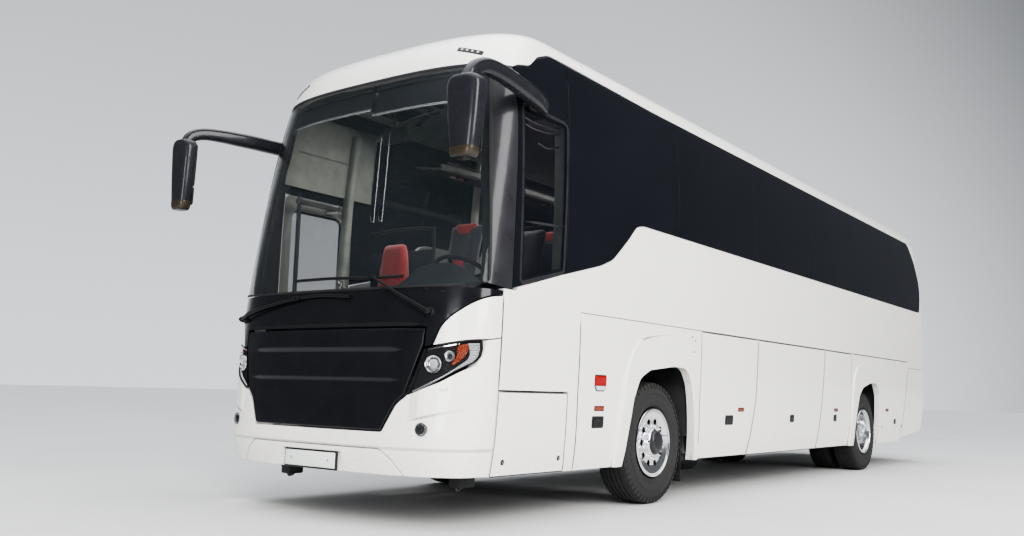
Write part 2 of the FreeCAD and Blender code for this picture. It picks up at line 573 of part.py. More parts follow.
put("rear_bumper", B_SHELL.common(prism_x([(11796, 480), (12300, 520), (12300, 694), (11796, 694)], -1600, 1600)))
put("number_plates", box(-260, 260, 12021, 12027, 560, 672))

# ---------------------------------------------------------------- roof unit
ac = prism_x([(2480, 3690), (2640, 3790, 60), (6360, 3812, 200), (6700, 3700)], -860, 860)
acs = prism_y([(-900, 3640), (-820, 3780, 60), (-500, 3820, 300), (500, 3820, 300), (820, 3780, 60), (900, 3640)], 2400, 6800)
put("roof_air_conditioner", ac.common(acs).cut(OUT.translated(V(0, 0, 4))))

# ---------------------------------------------------------------- underframe and floors
uf = []
for s in (1, -1):
    x0, x1 = (370, 440) if s > 0 else (-440, -370)
    uf.append(box(x0, x1, 620 if s > 0 else 1560, 3440, 600, 760))
    uf.append(box(x0, x1, 8140, 11700, 640, 800))
for y in (640, 1500, 3380):
    uf.append(box(-367 if y > 1600 else -280, 367, y, y + 60, 620, 740))
for y in (8200, 9600):
    uf.append(box(-367, 367, y, y + 60, 660, 780))
for y in (3520, 4300, 5100, 5900, 6700, 8060):
    uf.append(box(-1120 if not 7000 < y < 8100 else -240, 1120, y, y + 50, 340, 398))
tow = box(-60, 60, 250, 638, 560, 598).cut(cyl((0, 300, 500), (0, 300, 700), 20))
tow_r = box(-60, 60, 11702, 11792, 600, 640).cut(cyl((0, 11748, 500), (0, 11748, 700), 20))
uf += [tow, tow_r]
put("underframe", uf)

fl = [box(-1205, 1205, 3560, 7060, FLOOR_Z - 40, FLOOR_Z), box(-230, 1205, 7062, 8040, FLOOR_Z - 40, FLOOR_Z), box(-1205, 1205, 8042, 11740, FLOOR_Z - 40, FLOOR_Z),
      box(-1205, 1205, 1960, 3558, FLOOR_Z - 40, FLOOR_Z), box(-290, 1200, 640, 1920, CAB_Z - 40, CAB_Z), box(-290, 1200, 1922, 1956, CAB_Z - 40, FLOOR_Z)]
fl += [box(-1075, -292, 620, 1500, 400, 430), box(-840, -292, 620, 1500, 432, 640), box(-600, -292, 620, 1500, 642, 830),
       box(-1075, -292, 1502, 1540, 400, FLOOR_Z), box(-1205, -292, 1542, 1958, FLOOR_Z - 40, FLOOR_Z)]
fl += [box(-1075, -232, 7120, 8020, 400, 430), box(-860, -232, 7120, 8020, 432, 700), box(-640, -232, 7120, 8020, 702, 960), box(-430, -232, 7120, 8020, 962, 1200),
       box(-1140, -232, 7080, 7118, 400, FLOOR_Z), box(-1140, -232, 8022, 8040, 400, FLOOR_Z)]
put("saloon_floor", fl)
put("luggage_hold", box(-1140, 1140, 3560, 7060, 400, HOLD_Z), box(-228, 1140, 7062, 8040, 400, HOLD_Z), box(-1140, 1140, 3500, 3558, 400, FLOOR_Z - 42), box(-228, 1140, 8042, 8070, 400, FLOOR_Z - 42))
wh = []
for s in (1, -1):
    def bx(a, b, *r):
        return box(a, b, *r) if s > 0 else box(-b, -a, *r)
    wh += [bx(470, 488, 2180, 3496, 560, 1230), bx(490, 1172, 2180, 3496, 1212, 1230), bx(490, 1172, 2180, 2196, 560, 1210), bx(490, 1172, 3480, 3496, 560, 1210)]
    wh += [bx(520, 538, 8130, 9430, 820, 1230), bx(540, 1172, 8130, 9430, 1212, 1230), bx(540, 1172, 8130, 8146, 560, 1210), bx(540, 1172, 9414, 9430, 560, 1210)]
put("wheel_housings", wh)

# ---------------------------------------------------------------- running gear
def tyre(x_in, x_out, yc):
    w = x_out - x_in
    prof = [(0.10 * w, RIM_R + 1), (0.0, RIM_R + 40), (-0.00 * w, TYRE_R - 105), (0.03 * w, TYRE_R - 45), (0.09 * w, TYRE_R - 14), (0.20 * w, TYRE_R - 3), (0.5 * w, TYRE_R), (0.80 * w, TYRE_R - 3),
            (0.91 * w, TYRE_R - 14), (0.97 * w, TYRE_R - 45), (w, TYRE_R - 105), (w, RIM_R + 40), (0.90 * w, RIM_R + 1)]
    return lathe_x(prof, x_in, yc, HUB_Z)


def wheel(x_in, x_out, yc, dish, sgn):
    """rim with disc; dish True puts the disc deep inside; sgn is the outward direction"""
    w = abs(x_out - x_in)
    x0 = x_in if sgn > 0 else x_out
    R = RIM_R
    d = 0.86 * w if not dish else 0.20 * w
    t = 14.0
    prof = [(12, R + 7), (12, R - 22), (40, R - 34), (d - 40, R - 34), (d - 4, R - 60), (d, R - 90)]
    if dish:
        prof += [(d, 88), (d + t, 88), (d + t, R - 92), (d + t + 10, R - 62), (d + 34, R - 36), (w - 40, R - 34)]
    else:
        # flush disc with the hub barrel standing out of it
        prof += [(d, 60), (d + t + 62, 60), (d + t + 62, 84), (d + t + 40, 100), (d + t, 112), (d + t, R - 92), (d + t + 6, R - 60)]
    prof += [(w - 12, R - 22), (w - 12, R + 7), (w - 20, R + 7), (w - 22, R - 4), (22, R - 4), (20, R + 7)]
    if sgn > 0:
        s = lathe_x(prof, x_in, yc, HUB_Z, 1.0)
    else:
        s = lathe_x(prof, x_out, yc, HUB_Z, -1.0)
    for k in range(10):
        a = math.radians(36 * k + 18)
        y, z = yc + 182 * math.sin(a), HUB_Z + 182 * math.cos(a)
        s = s.cut(cyl((min(x_in, x_out) - 5, y, z), (max(x_in, x_out) + 5, y, z), 27))
    return s


XO = 1208.0
front_l = (XO - TYRE_W, XO)
for s, nm in ((1, "front_left"), (-1, "front_right")):
    a, b = front_l
    t = tyre(a, b, Y_FRONT_AXLE)
    w = wheel(a, b, Y_FRONT_AXLE, False, 1)
    if s < 0:
        t, w = mx(t), mx(w)
    put(nm + "_tyre", t)
    put(nm + "_wheel", w)
GAP2 = 46.0
for s, nm in ((1, "rear_left"), (-1, "rear_right")):
    b = XO
    a = b - TYRE_W
    d = a - GAP2
    c = d - TYRE_W
    ts = [tyre(a, b, Y_REAR_AXLE), tyre(c, d, Y_REAR_AXLE)]
    w1 = wheel(a, b, Y_REAR_AXLE, True, 1)
    # inner wheel: mirrored so that the two discs meet back to back
    w2 = wheel(c, d, Y_REAR_AXLE, True, 1).mirror(V((c + d) / 2, 0, 0), V(1, 0, 0))
    if s < 0:
        ts, w1, w2 = [mx(q) for q in ts], mx(w1), mx(w2)
    put(nm + "_tyres", ts)
    put(nm + "_wheels", w1, w2)

# front beam, knuckles, brake drums
put("front_axle", prism_y([(-862, 470), (-862, 575), (-560, 560, 60), (-470, 480, 60), (470, 480, 60), (560, 560, 60), (862, 575), (862, 470), (600, 440, 60), (520, 380, 60), (-520, 380, 60), (-600, 440, 60)], Y_FRONT_AXLE - 48, Y_FRONT_AXLE + 48))
for s, nm in ((1, "left_knuckle"), (-1, "right_knuckle")):
    k = box(KINGPIN_X - 44, KINGPIN_X + 44, Y_FRONT_AXLE - 60, Y_FRONT_AXLE + 60, 400, 650)
    k = k.cut(box(KINGPIN_X - 50, KINGPIN_X + 0, Y_FRONT_AXLE - 70, Y_FRONT_AXLE + 70, 452, 594))
    k = k.fuse(cyl((KINGPIN_X + 20, Y_FRONT_AXLE, HUB_Z), (KINGPIN_X + 262, Y_FRONT_AXLE, HUB_Z), 40))
    k = k.fuse(cyl((KINGPIN_X + 50, Y_FRONT_AXLE, HUB_Z), (KINGPIN_X + 120, Y_FRONT_AXLE, HUB_Z), 205))
    k = k.removeSplitter()
    put(nm, k if s > 0 else mx(k))

# rear axle: banjo housing, tubes, brake discs, hubs
ra = lathe_x([(-500, 0), (-500, 70), (-230, 80), (-150, 190), (150, 190), (230, 80), (500, 70), (500, 0)], 0, Y_REAR_AXLE, HUB_Z + 8)
ra = ra.fuse(cyl((0, Y_REAR_AXLE + 150, HUB_Z + 8), (0, Y_REAR_AXLE + 330, HUB_Z + 8), 90)).removeSplitter()
put("rear_axle", ra, both(cyl((502, Y_REAR_AXLE, HUB_Z), (1080, Y_REAR_AXLE, HUB_Z), 70)))
put("propeller_shaft", cyl((0, Y_REAR_AXLE + 346, HUB_Z + 10), (0, 9990, 640), 50))
put("engine", box(-362, 362, 10720, 11700, 560, 1330), box(-330, 330, 10060, 10716, 560, 1050))
sp = []
for y in (Y_FRONT_AXLE - 300, Y_FRONT_AXLE + 300):
    sp += both(cyl((405, y, 775), (405, y, 1180), 24))
for y in (Y_REAR_AXLE - 330, Y_REAR_AXLE + 330):
    sp += both(cyl((405, y, 815), (405, y, 1180), 24))
put("suspension", sp)
put("fuel_tank", box(560, 1120, 9500, 10440, 480, 1120))
put("mudflaps", both(box(920, 1130, 3464, 3472, 150, 556)), both(box(600, 1130, 9330, 9338, 190, 560)))

# ---------------------------------------------------------------- mirrors, wipers
def mirror_set(s, path, r0, r1, hx, hy, z0, z1, wx, wy):
    """arm along path with its radius falling from r0 to r1, head as a tapered shell between z0 and z1"""
    segs = []
    n = len(path) - 1
    for i, (p, q) in enumerate(zip(path, path[1:])):
        ra, rb = r0 + (r1 - r0) * i / n, r0 + (r1 - r0) * (i + 1) / n
        d = V(*q) - V(*p)
        segs.append(Part.makeCone(ra, rb, d.Length, V(*p), d))
        if i:
            segs.append(Part.makeSphere(ra * 1.06, V(*p)))
    arm = segs[0].multiFuse(segs[1:])
    wires = []
    for f, k in ((0.0, 0.62), (0.02, 0.69), (0.07, 0.75), (0.30, 0.84), (0.60, 0.93), (0.85, 1.0), (0.92, 0.97), (0.97, 0.88), (1.0, 0.72)):
        a, b = wx * k / 2, wy * k / 2
        pts = [(hx - a, hy - 0.2 * b, 0.3 * a), (hx - 0.6 * a, hy - b, 0.4 * a), (hx + 0.6 * a, hy - b, 0.4 * a), (hx + a, hy - 0.2 * b, 0.3 * a), (hx + a, hy + b, 14 * k), (hx - a, hy + b, 14 * k)]
        z = z0 + f * (z1 - z0)
        wires.append(rounded(pts, lambda u, v: (u, v, z)))
    h = Part.makeLoft(wires, True, True)
    if h.Volume < 0:
        h.reverse()
    u = arm.fuse(h).removeSplitter().cut(OUT.translated(V(1, 0, 0)))
    return u if s > 0 else mx(u)


L_ARM = [(1215, 1010, 3032), (1300, 804, 3040), (1345, 558, 3052), (1385, 330, 3058), (1410, 133, 3052), (1420, 16, 3028), (1424, -70, 2972), (1427, -112, 2880)]
R_ARM = [(1215, 990, 2985), (1285, 690, 2965), (1310, 356, 2960), (1335, 200, 2958), (1362, 60, 2956), (1390, -90, 2942), (1408, -190, 2900), (1414, -232, 2810)]
put("mirrors", mirror_set(1, L_ARM, 54, 42, 1424, -108, 2398, 2926, 214, 136), mirror_set(-1, R_ARM, 50, 38, 1418, -240, 2288, 2858, 168, 112))
wp = []


def front_y(x, z):
    a = tab(A_T, z)
    f = tab(F_T, z)
    q = min(0.999, (abs(x) / a) ** 3)
    return f + FRONT_DEPTH * (1 - (1 - q) ** (1 / 3.0))


def front_n(x, z):
    """outward normal of the front surface"""
    dx = (front_y(x + 2, z) - front_y(x - 2, z)) / 4.0
    dz = (front_y(x, z + 2) - front_y(x, z - 2)) / 4.0
    n = V(dx, -1.0, dz)
    return n * (1.0 / n.Length)


def bar(a, b, n, w, h):
    """flat bar from a to b, w wide and h thick along n, longer by half its width at both ends"""
    d = b - a
    d.normalize()
    n = n - d * n.dot(d)
    n.normalize()
    s = d.cross(n)
    p = [a - d * (w / 2) + s * (w / 2) * i + n * (h / 2) * j for i, j in ((-1, -1), (1, -1), (1, 1), (-1, 1), (-1, -1))]
    return Part.Face(Part.makePolygon(p)).extrude(b - a + d * w)


for path in (((949, 1440), (461, 1689)), ((-1040, 1434), (-690, 1496), (-290, 1556))):
    px, pz = path[0]
    p0 = V(px, front_y(px, pz), pz)
    n0 = front_n(px, pz)
    run = [p0 + n0 * 34] + [V(ex, front_y(ex, ez), ez) + front_n(ex, ez) * 42 for ex, ez in path[1:]]
    arm = Part.makeCylinder(20, 40, p0 + n0 * 4, n0)
    for a0, a1 in zip(run, run[1:]):
        arm = arm.fuse(bar(a0, a1, n0, 22, 14))
    wp.append(arm.removeSplitter())
put("wipers", wp)

# ---------------------------------------------------------------- interior
dash = prism_x([(330, 1002), (760, 1002, 20), (760, 1180, 60), (640, 1560, 60), (330, 1600, 60)], -1000, 1150)
put("dashboard", dash.cut(box(-1200, -180, 560, 900, 900, 1700)).common(INR).cut(cyl((640, 560, 1265), (640, 900, 1854), 40)))
sw = Part.makeTorus(225, 17, V(640, 860, 1790), V(0, 0.5, 0.866))
sp1 = cyl((640, 640, 1410), (640, 860 - 4, 1790 - 6), 32)
spk = [cyl((640 - 212, 860, 1790), (640 + 212, 860, 1790), 14)]
put("steering_wheel", sw.fuse(spk[0]).fuse(sp1).removeSplitter())
seat = []
def seat_pair(cx, y, z, w, node_c, node_b):
    c = prism_x([(y, z + 360), (y + 450, z + 340), (y + 450, z + 460, 30), (y, z + 480, 50)], cx - w / 2, cx + w / 2)
    b = prism_x([(y + 400, z + 482), (y + 500, z + 482), (y + 640, z + 1160, 40), (y + 560, z + 1180, 40)], cx - w / 2, cx + w / 2)
    put(node_c, c)
    put(node_b, b)


put("driver_seat", prism_x([(1000, 1440, 30), (1480, 1420, 30), (1480, 1540, 40), (1000, 1560, 50)], 390, 890), prism_x([(1440, 1542), (1540, 1542), (1660, 2260, 40), (1580, 2270, 40)], 400, 880), box(480, 800, 1080, 1440, 1002, 1418))
SEAT_X = 672.0
rows = [2150 + 790 * k for k in range(12)]
for y in rows:
    for cx, s in ((SEAT_X, 1), (-SEAT_X, -1)):
        if s < 0 and 6700 < y < 7900:
            continue
        if y > 11200:
            continue
        for dx in (-222, 222):
            seat_pair(cx + dx, y, FLOOR_Z, 436, "passenger_seats", "passenger_seats")
        put("seat_frames", box(cx - 300, cx - 260, y + 120, y + 330, FLOOR_Z + 2, FLOOR_Z + 336), box(cx + 260, cx + 300, y + 120, y + 330, FLOOR_Z + 2, FLOOR_Z + 336))
put("luggage_racks", both(prism_y([(700, 3020, 20), (1100, 3080, 0), (1100, 3110, 0), (690, 3060, 20)], 2100, 11300)))

# ---------------------------------------------------------------- export
os.makedirs("parts", exist_ok=True)
lo = [1e9] * 3
hi = [-1e9] * 3
for name in sorted(PARTS):
    ss = [s.translated(V(0, -Y_SHIFT, 0)) for s in PARTS[name]]
    for s in ss:
        if not s.isValid():
            print("invalid solid in", name, round(s.Volume))
        bb = s.BoundBox
        for i, (a, b) in enumerate(((bb.XMin, bb.XMax), (bb.YMin, bb.YMax), (bb.ZMin, bb.ZMax))):
            lo[i], hi[i] = min(lo[i], a), max(hi[i], b)
    shape = ss[0] if len(ss) == 1 else Part.makeCompound(ss)
    shape.exportStep("parts/" + name + ".step")
    print(name, len(ss), "solids", round(sum(s.Volume for s in ss) / 1e9, 4), "m3")
print("bounds", [round(v, 1) for v in lo], [round(v, 1) for v in hi])
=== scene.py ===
import json
import math
import random

import bmesh
import bpy
import numpy as np
from mathutils import Matrix, Vector
from mathutils.geometry import delaunay_2d_cdt


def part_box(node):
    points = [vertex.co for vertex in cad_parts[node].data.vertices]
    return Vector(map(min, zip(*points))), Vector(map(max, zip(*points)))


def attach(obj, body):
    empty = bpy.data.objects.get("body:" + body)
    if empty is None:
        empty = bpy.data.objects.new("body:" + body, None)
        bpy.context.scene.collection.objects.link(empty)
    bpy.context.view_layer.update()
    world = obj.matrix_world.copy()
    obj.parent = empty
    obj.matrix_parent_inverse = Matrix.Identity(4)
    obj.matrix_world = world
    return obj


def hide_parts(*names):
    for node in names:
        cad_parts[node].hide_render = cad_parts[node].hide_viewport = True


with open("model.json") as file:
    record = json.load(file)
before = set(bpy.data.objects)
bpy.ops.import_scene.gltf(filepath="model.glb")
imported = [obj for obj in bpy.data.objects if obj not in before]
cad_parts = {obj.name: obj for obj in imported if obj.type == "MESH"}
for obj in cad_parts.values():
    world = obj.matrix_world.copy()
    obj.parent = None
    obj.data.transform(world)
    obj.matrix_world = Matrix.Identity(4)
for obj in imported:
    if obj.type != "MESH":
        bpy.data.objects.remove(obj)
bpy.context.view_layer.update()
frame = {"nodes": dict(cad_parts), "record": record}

YS = 5.8879          # the frame's origin is under the middle; shapes below are stated from the front face
random.seed(11)
rng = np.random.default_rng(11)
scene = bpy.context.scene
NODES = frame["nodes"]

# ------------------------------------------------------------------ body surface
Z_T = [300, 340, 520, 650, 840, 1100, 1300, 1620, 2000, 2400, 2800, 3100, 3300, 3400, 3480, 3550, 3610, 3655, 3690, 3715]
A_T = [1186, 1193, 1222, 1234, 1246, 1258, 1264, 1268, 1268, 1264, 1250, 1228, 1206, 1192, 1176, 1150, 1105, 1035, 920, 720]
F_T = [36, 30, 0, 0, 15, 35, 50, 85, 140, 210, 288, 352, 400, 432, 485, 565, 680, 830, 1040, 1320]
R_T = [11880, 11900, 11960, 12010, 12050, 12075, 12080, 12080, 12075, 12060, 12020, 11965, 11915, 11880, 11840, 11780, 11690, 11560, 11370, 11100]


def tab(t, z):
    if z <= Z_T[0]:
        return float(t[0])
    if z >= Z_T[-1]:
        return float(t[-1])
    i = 0
    while z > Z_T[i + 1]:
        i += 1

    def slope(k):
        if k <= 0:
            return (t[1] - t[0]) / (Z_T[1] - Z_T[0])
        if k >= len(Z_T) - 1:
            return (t[-1] - t[-2]) / (Z_T[-1] - Z_T[-2])
        return (t[k + 1] - t[k - 1]) / (Z_T[k + 1] - Z_T[k - 1])
    h = Z_T[i + 1] - Z_T[i]
    s = (z - Z_T[i]) / h
    m0, m1 = slope(i) * h, slope(i + 1) * h
    return (2 * s ** 3 - 3 * s ** 2 + 1) * t[i] + (s ** 3 - 2 * s ** 2 + s) * m0 + (-2 * s ** 3 + 3 * s ** 2) * t[i + 1] + (s ** 3 - s ** 2) * m1


def front_y(x, z):
    """local y in mm of the front surface at x, z in mm"""
    a, f = tab(A_T, z), tab(F_T, z)
    q = min(0.9995, (abs(x) / a) ** 3)
    return f + 500.0 * (1 - (1 - q) ** (1 / 3.0))


def rear_y(x, z):
    a, r = tab(A_T, z), tab(R_T, z)
    q = min(0.9995, (abs(x) / a) ** 3)
    return r - 300.0 * (1 - (1 - q) ** (1 / 3.0))


def side_x(y, z):
    """half width in mm at local y, z"""
    a, f, r = tab(A_T, z), tab(F_T, z), tab(R_T, z)
    if y < f + 500:
        q = min(1.0, max(0.0, (f + 500 - y) / 500.0))
        return a * max(0.0, 1 - q ** 3) ** (1 / 3.0)
    if y > r - 300:
        q = min(1.0, max(0.0, (y - (r - 300)) / 300.0))
        return a * max(0.0, 1 - q ** 3) ** (1 / 3.0)
    return a


def L(x, y, z):
    """local millimetres to frame metres"""
    return Vector((x / 1000.0, y / 1000.0 - YS, z / 1000.0))


# ------------------------------------------------------------------ materials
def new_mat(name):
    m = bpy.data.materials.new(name)
    m.use_nodes = True
    nt = m.node_tree
    for n in list(nt.nodes):
        nt.nodes.remove(n)
    out = nt.nodes.new("ShaderNodeOutputMaterial")
    b = nt.nodes.new("ShaderNodeBsdfPrincipled")
    nt.links.new(b.outputs[0], out.inputs[0])
    return m, nt, b


def node(nt, kind, **kw):
    n = nt.nodes.new(kind)
    for k, v in kw.items():
        if k.startswith("in_"):
            key = k[3:]
            key = int(key) if key.isdigit() else key
            n.inputs[key].default_value = v
        else:
            setattr(n, k, v)
    return n


def coords(nt):
    return nt.nodes.new("ShaderNodeTexCoord").outputs["Object"]


def noise(nt, scale, detail=4.0, rough=0.55, vec=None, dim="3D"):
    n = nt.nodes.new("ShaderNodeTexNoise")
    n.inputs["Scale"].default_value = scale
    n.inputs["Detail"].default_value = detail
    n.inputs["Roughness"].default_value = rough
    nt.links.new(vec or coords(nt), n.inputs["Vector"])
    return n.outputs["Fac"]


def ramp(nt, fac, stops):
    r = nt.nodes.new("ShaderNodeValToRGB")
    el = r.color_ramp.elements
    while len(el) < len(stops):
        el.new(0.5)
    for e, (p, c) in zip(el, stops):
        e.position = p
        e.color = (c[0], c[1], c[2], 1.0)
    nt.links.new(fac, r.inputs[0])
    return r.outputs["Color"]


def mix(nt, fac, a, b, mode="MIX"):
    n = nt.nodes.new("ShaderNodeMix")
    n.data_type = "RGBA"
    n.blend_type = mode
    for sock, v in ((n.inputs[0], fac), (n.inputs[6], a), (n.inputs[7], b)):
        if hasattr(v, "is_output"):
            nt.links.new(v, sock)
        elif isinstance(v, (int, float)):
            sock.default_value = v
        else:
            sock.default_value = (v[0], v[1], v[2], 1.0)
    return n.outputs[2]


def mathn(nt, op, a, b=0.0, clamp=False):
    n = nt.nodes.new("ShaderNodeMath")
    n.operation = op
    n.use_clamp = clamp
    for sock, v in ((n.inputs[0], a), (n.inputs[1], b)):
        if hasattr(v, "is_output"):
            nt.links.new(v, sock)
        else:
            sock.default_value = v
    return n.outputs[0]


def maprange(nt, v, a0, a1, b0=0.0, b1=1.0):
    n = nt.nodes.new("ShaderNodeMapRange")
    n.inputs[1].default_value = a0
    n.inputs[2].default_value = a1
    n.inputs[3].default_value = b0
    n.inputs[4].default_value = b1
    nt.links.new(v, n.inputs[0])
    return n.outputs[0]


def bump(nt, b, height, strength, distance=0.002):
    n = nt.nodes.new("ShaderNodeBump")
    n.inputs["Strength"].default_value = strength
    n.inputs["Distance"].default_value = distance
    nt.links.new(height, n.inputs["Height"])
    nt.links.new(n.outputs[0], b.inputs["Normal"])


def zpos(nt):
    s = nt.nodes.new("ShaderNodeSeparateXYZ")
    nt.links.new(coords(nt), s.inputs[0])
    return s.outputs


M = {}


def paint(name, col, rough=0.32, coat=0.7, low_darkening=0.35, spread=0.03, edge=0.006, creases=False):
    m, nt, b = new_mat(name)
    b.inputs["Coat Weight"].default_value = coat
    b.inputs["Coat Roughness"].default_value = 0.06
    n1 = noise(nt, 0.9, 3)
    n2 = noise(nt, 38.0, 5, 0.65)
    dark = tuple(c * (1 - spread) for c in col)
    base = ramp(nt, n1, [(0.3, dark), (0.7, col)])
    z = zpos(nt)[2]
    # darker and browner towards the bottom, mottled by noise, as strong as low_darkening sets
    low = maprange(nt, z, 0.30, 1.25, 1.0, 0.0)
    mottled_darkening = mathn(nt, "MULTIPLY", mathn(nt, "MULTIPLY", low, maprange(nt, n2, 0.38, 0.72)), low_darkening, True)
    base = mix(nt, mottled_darkening, base, (col[0] * 0.62, col[1] * 0.58, col[2] * 0.50))
    # faces that look into the saloon get a dark colour: the saloon lining, painted dark as shade of the dim saloon
    ge = nt.nodes.new("ShaderNodeNewGeometry")
    sx = nt.nodes.new("ShaderNodeSeparateXYZ")
    nt.links.new(ge.outputs["True Normal"], sx.inputs[0])
    o = zpos(nt)
    inward = mathn(nt, "MULTIPLY", mathn(nt, "SIGN", o[0], 0.0), sx.outputs[0])
    inner_face_shade = mathn(nt, "MULTIPLY", maprange(nt, inward, -0.30, -0.55), maprange(nt, z, 0.98, 1.00))
    base = mix(nt, inner_face_shade, base, (0.10, 0.105, 0.095))
    nt.links.new(base, b.inputs["Base Color"])
    nt.links.new(mathn(nt, "ADD", mathn(nt, "MULTIPLY", mottled_darkening, 0.5), maprange(nt, n2, 0.2, 0.8, rough - 0.05, rough + 0.06)), b.inputs["Roughness"])
    n = nt.nodes.new("ShaderNodeBump")
    n.inputs["Strength"].default_value = 0.035
    n.inputs["Distance"].default_value = 0.001
    nt.links.new(noise(nt, 220.0, 2), n.inputs["Height"])
    bv = nt.nodes.new("ShaderNodeBevel")
    bv.samples = 6 if creases else 4
    bv.inputs["Radius"].default_value = edge
    if creases:
        # pressed lines of the bumper: one rising outwards over the fog lamp, one low shoulder
        c = nt.nodes.new("ShaderNodeBump")
        c.inputs["Strength"].default_value = 1.0
        c.inputs["Distance"].default_value = 0.022
        ax = mathn(nt, "ABSOLUTE", zpos(nt)[0])
        line = mathn(nt, "ADD", mathn(nt, "MULTIPLY", ax, -0.253), z)
        up = mathn(nt, "MULTIPLY", mathn(nt, "MULTIPLY", maprange(nt, line, 0.488, 0.506), maprange(nt, ax, 0.86, 0.92)), maprange(nt, ax, 0.96, 1.20, 1.0, 0.0))
        low_step = maprange(nt, z, 0.518, 0.540)
        nt.links.new(mathn(nt, "ADD", up, mathn(nt, "MULTIPLY", low_step, 0.6)), c.inputs["Height"])
        nt.links.new(bv.outputs[0], c.inputs["Normal"])
        nt.links.new(c.outputs[0], n.inputs["Normal"])
    else:
        nt.links.new(bv.outputs[0], n.inputs["Normal"])
    nt.links.new(n.outputs[0], b.inputs["Normal"])
    M[name] = m
    return m


def plastic(name, col, rough=0.45, grain=0.25, scale=420.0, coat=0.0, var=0.25):
    m, nt, b = new_mat(name)
    b.inputs["Coat Weight"].default_value = coat
    b.inputs["Coat Roughness"].default_value = 0.04
    b.inputs["Specular IOR Level"].default_value = 0.28
    n1 = noise(nt, 6.0, 6, 0.6)
    n2 = noise(nt, scale, 3)
    lo = tuple(c * (1 - var) for c in col)
    hi = tuple(min(1, c * (1 + var)) for c in col)
    nt.links.new(ramp(nt, n1, [(0.3, lo), (0.72, hi)]), b.inputs["Base Color"])
    nt.links.new(maprange(nt, n1, 0.25, 0.8, max(0.03, rough - 0.06), rough + 0.08), b.inputs["Roughness"])
    bump(nt, b, n2, grain, 0.0006)
    M[name] = m
    return m


def metal(name, col, rough=0.25, aniso=0.0, scale=60.0, mottled_darkening=0.25, strength=0.06):
    m, nt, b = new_mat(name)
    b.inputs["Metallic"].default_value = 1.0
    if aniso:
        b.inputs["Anisotropic"].default_value = aniso
    n1 = noise(nt, 9.0, 6, 0.65)
    n2 = noise(nt, scale, 4)
    lo = tuple(c * (1 - mottled_darkening) for c in col)
    nt.links.new(ramp(nt, n1, [(0.34, lo), (0.62, col)]), b.inputs["Base Color"])
    nt.links.new(maprange(nt, n2, 0.25, 0.75, max(0.04, rough - 0.07), rough + 0.10), b.inputs["Roughness"])
    bump(nt, b, n2, strength, 0.0008)
    M[name] = m
    return m


def glass(name, col, alpha, rough=0.02, ior=1.5, gloss=0.90, spec=0.5, var=0.1):
    """dark or clear pane: col is the body, alpha how much of it covers; the gloss comes by Fresnel over it"""
    m, nt, b = new_mat(name)
    out = [n for n in nt.nodes if n.type == "OUTPUT_MATERIAL"][0]
    n1 = noise(nt, 1.3, 3)
    lo = tuple(c * (1 - var) for c in col)
    hi = tuple(min(1.0, c * (1 + var)) for c in col)
    nt.links.new(ramp(nt, n1, [(0.3, lo), (0.7, hi)]), b.inputs["Base Color"])
    b.inputs["IOR"].default_value = ior
    b.inputs["Specular IOR Level"].default_value = spec
    b.inputs["Alpha"].default_value = alpha
    n2 = noise(nt, 30.0, 4)
    nt.links.new(maprange(nt, n2, 0.3, 0.8, rough, rough + 0.02), b.inputs["Roughness"])
    if alpha < 0.6:
        g = nt.nodes.new("ShaderNodeBsdfGlossy")
        g.inputs["Roughness"].default_value = rough
        fr = nt.nodes.new("ShaderNodeLayerWeight")
        fr.inputs["Blend"].default_value = 0.5
        f5 = mathn(nt, "ADD", mathn(nt, "MULTIPLY", mathn(nt, "POWER", fr.outputs["Facing"], 5.0), gloss), ((ior - 1) / (ior + 1)) ** 2)
        mx = nt.nodes.new("ShaderNodeMixShader")
        nt.links.new(f5, mx.inputs[0])
        nt.links.new(b.outputs[0], mx.inputs[1])
        nt.links.new(g.outputs[0], mx.inputs[2])
        b.inputs["Specular IOR Level"].default_value = 0.0
        nt.links.new(mx.outputs[0], out.inputs[0])
    else:
        bump(nt, b, noise(nt, 2.2, 2), 0.02, 0.004)
    M[name] = m
    return m


paint("white_paint", (0.80, 0.783, 0.748))
paint("bumper_paint", (0.80, 0.783, 0.748), edge=0.014, creases=True)
paint("white_roof", (0.80, 0.79, 0.765), low_darkening=0.0)
plastic("black_gloss", (0.007, 0.007, 0.009), 0.17, 0.02, 300.0, 0.28, 0.15)
plastic("black_satin", (0.018, 0.018, 0.021), 0.30, 0.05, 300.0, 0.25, 0.2)
plastic("black_plastic", (0.016, 0.016, 0.018), 0.50, 0.30)
plastic("rubber", (0.016, 0.016, 0.017), 0.62, 0.25, 500.0)
plastic("seam_black", (0.006, 0.006, 0.007), 0.7, 0.1)
plastic("trim_light", (0.46, 0.44, 0.39), 0.6, 0.3)
plastic("trim_grey", (0.10, 0.104, 0.10), 0.6, 0.3)
# saloon lining in dark grey: painted shade of the dim saloon over its pale trim
plastic("lining_painted_shade", (0.14, 0.15, 0.135), 0.6, 0.3)
plastic("wiper_black", (0.005, 0.005, 0.006), 0.42, 0.15)
plastic("dash_dark", (0.022, 0.024, 0.029), 0.65, 0.4, 260.0)
plastic("floor_cover", (0.09, 0.09, 0.10), 0.7, 0.5, 200.0)
plastic("plate_blank", (0.66, 0.70, 0.66), 0.4, 0.1, 300.0, 0.2, 0.04)
metal("polished_aluminium", (0.86, 0.86, 0.87), 0.13, 0.0, 80.0, 0.12)
metal("chrome", (0.90, 0.90, 0.91), 0.05, 0.0, 60.0, 0.05, 0.02)
metal("steel_grey", (0.42, 0.42, 0.43), 0.38, 0.0, 50.0, 0.4)
metal("galvanised", (0.50, 0.51, 0.52), 0.45, 0.0, 22.0, 0.35)
plastic("chassis_steel", (0.030, 0.030, 0.032), 0.55, 0.5, 120.0)
plastic("cast_steel", (0.075, 0.072, 0.070), 0.62, 0.8, 90.0)
glass("tinted_glass", (0.006, 0.007, 0.010), 0.93, 0.015, 1.45, spec=0.35)


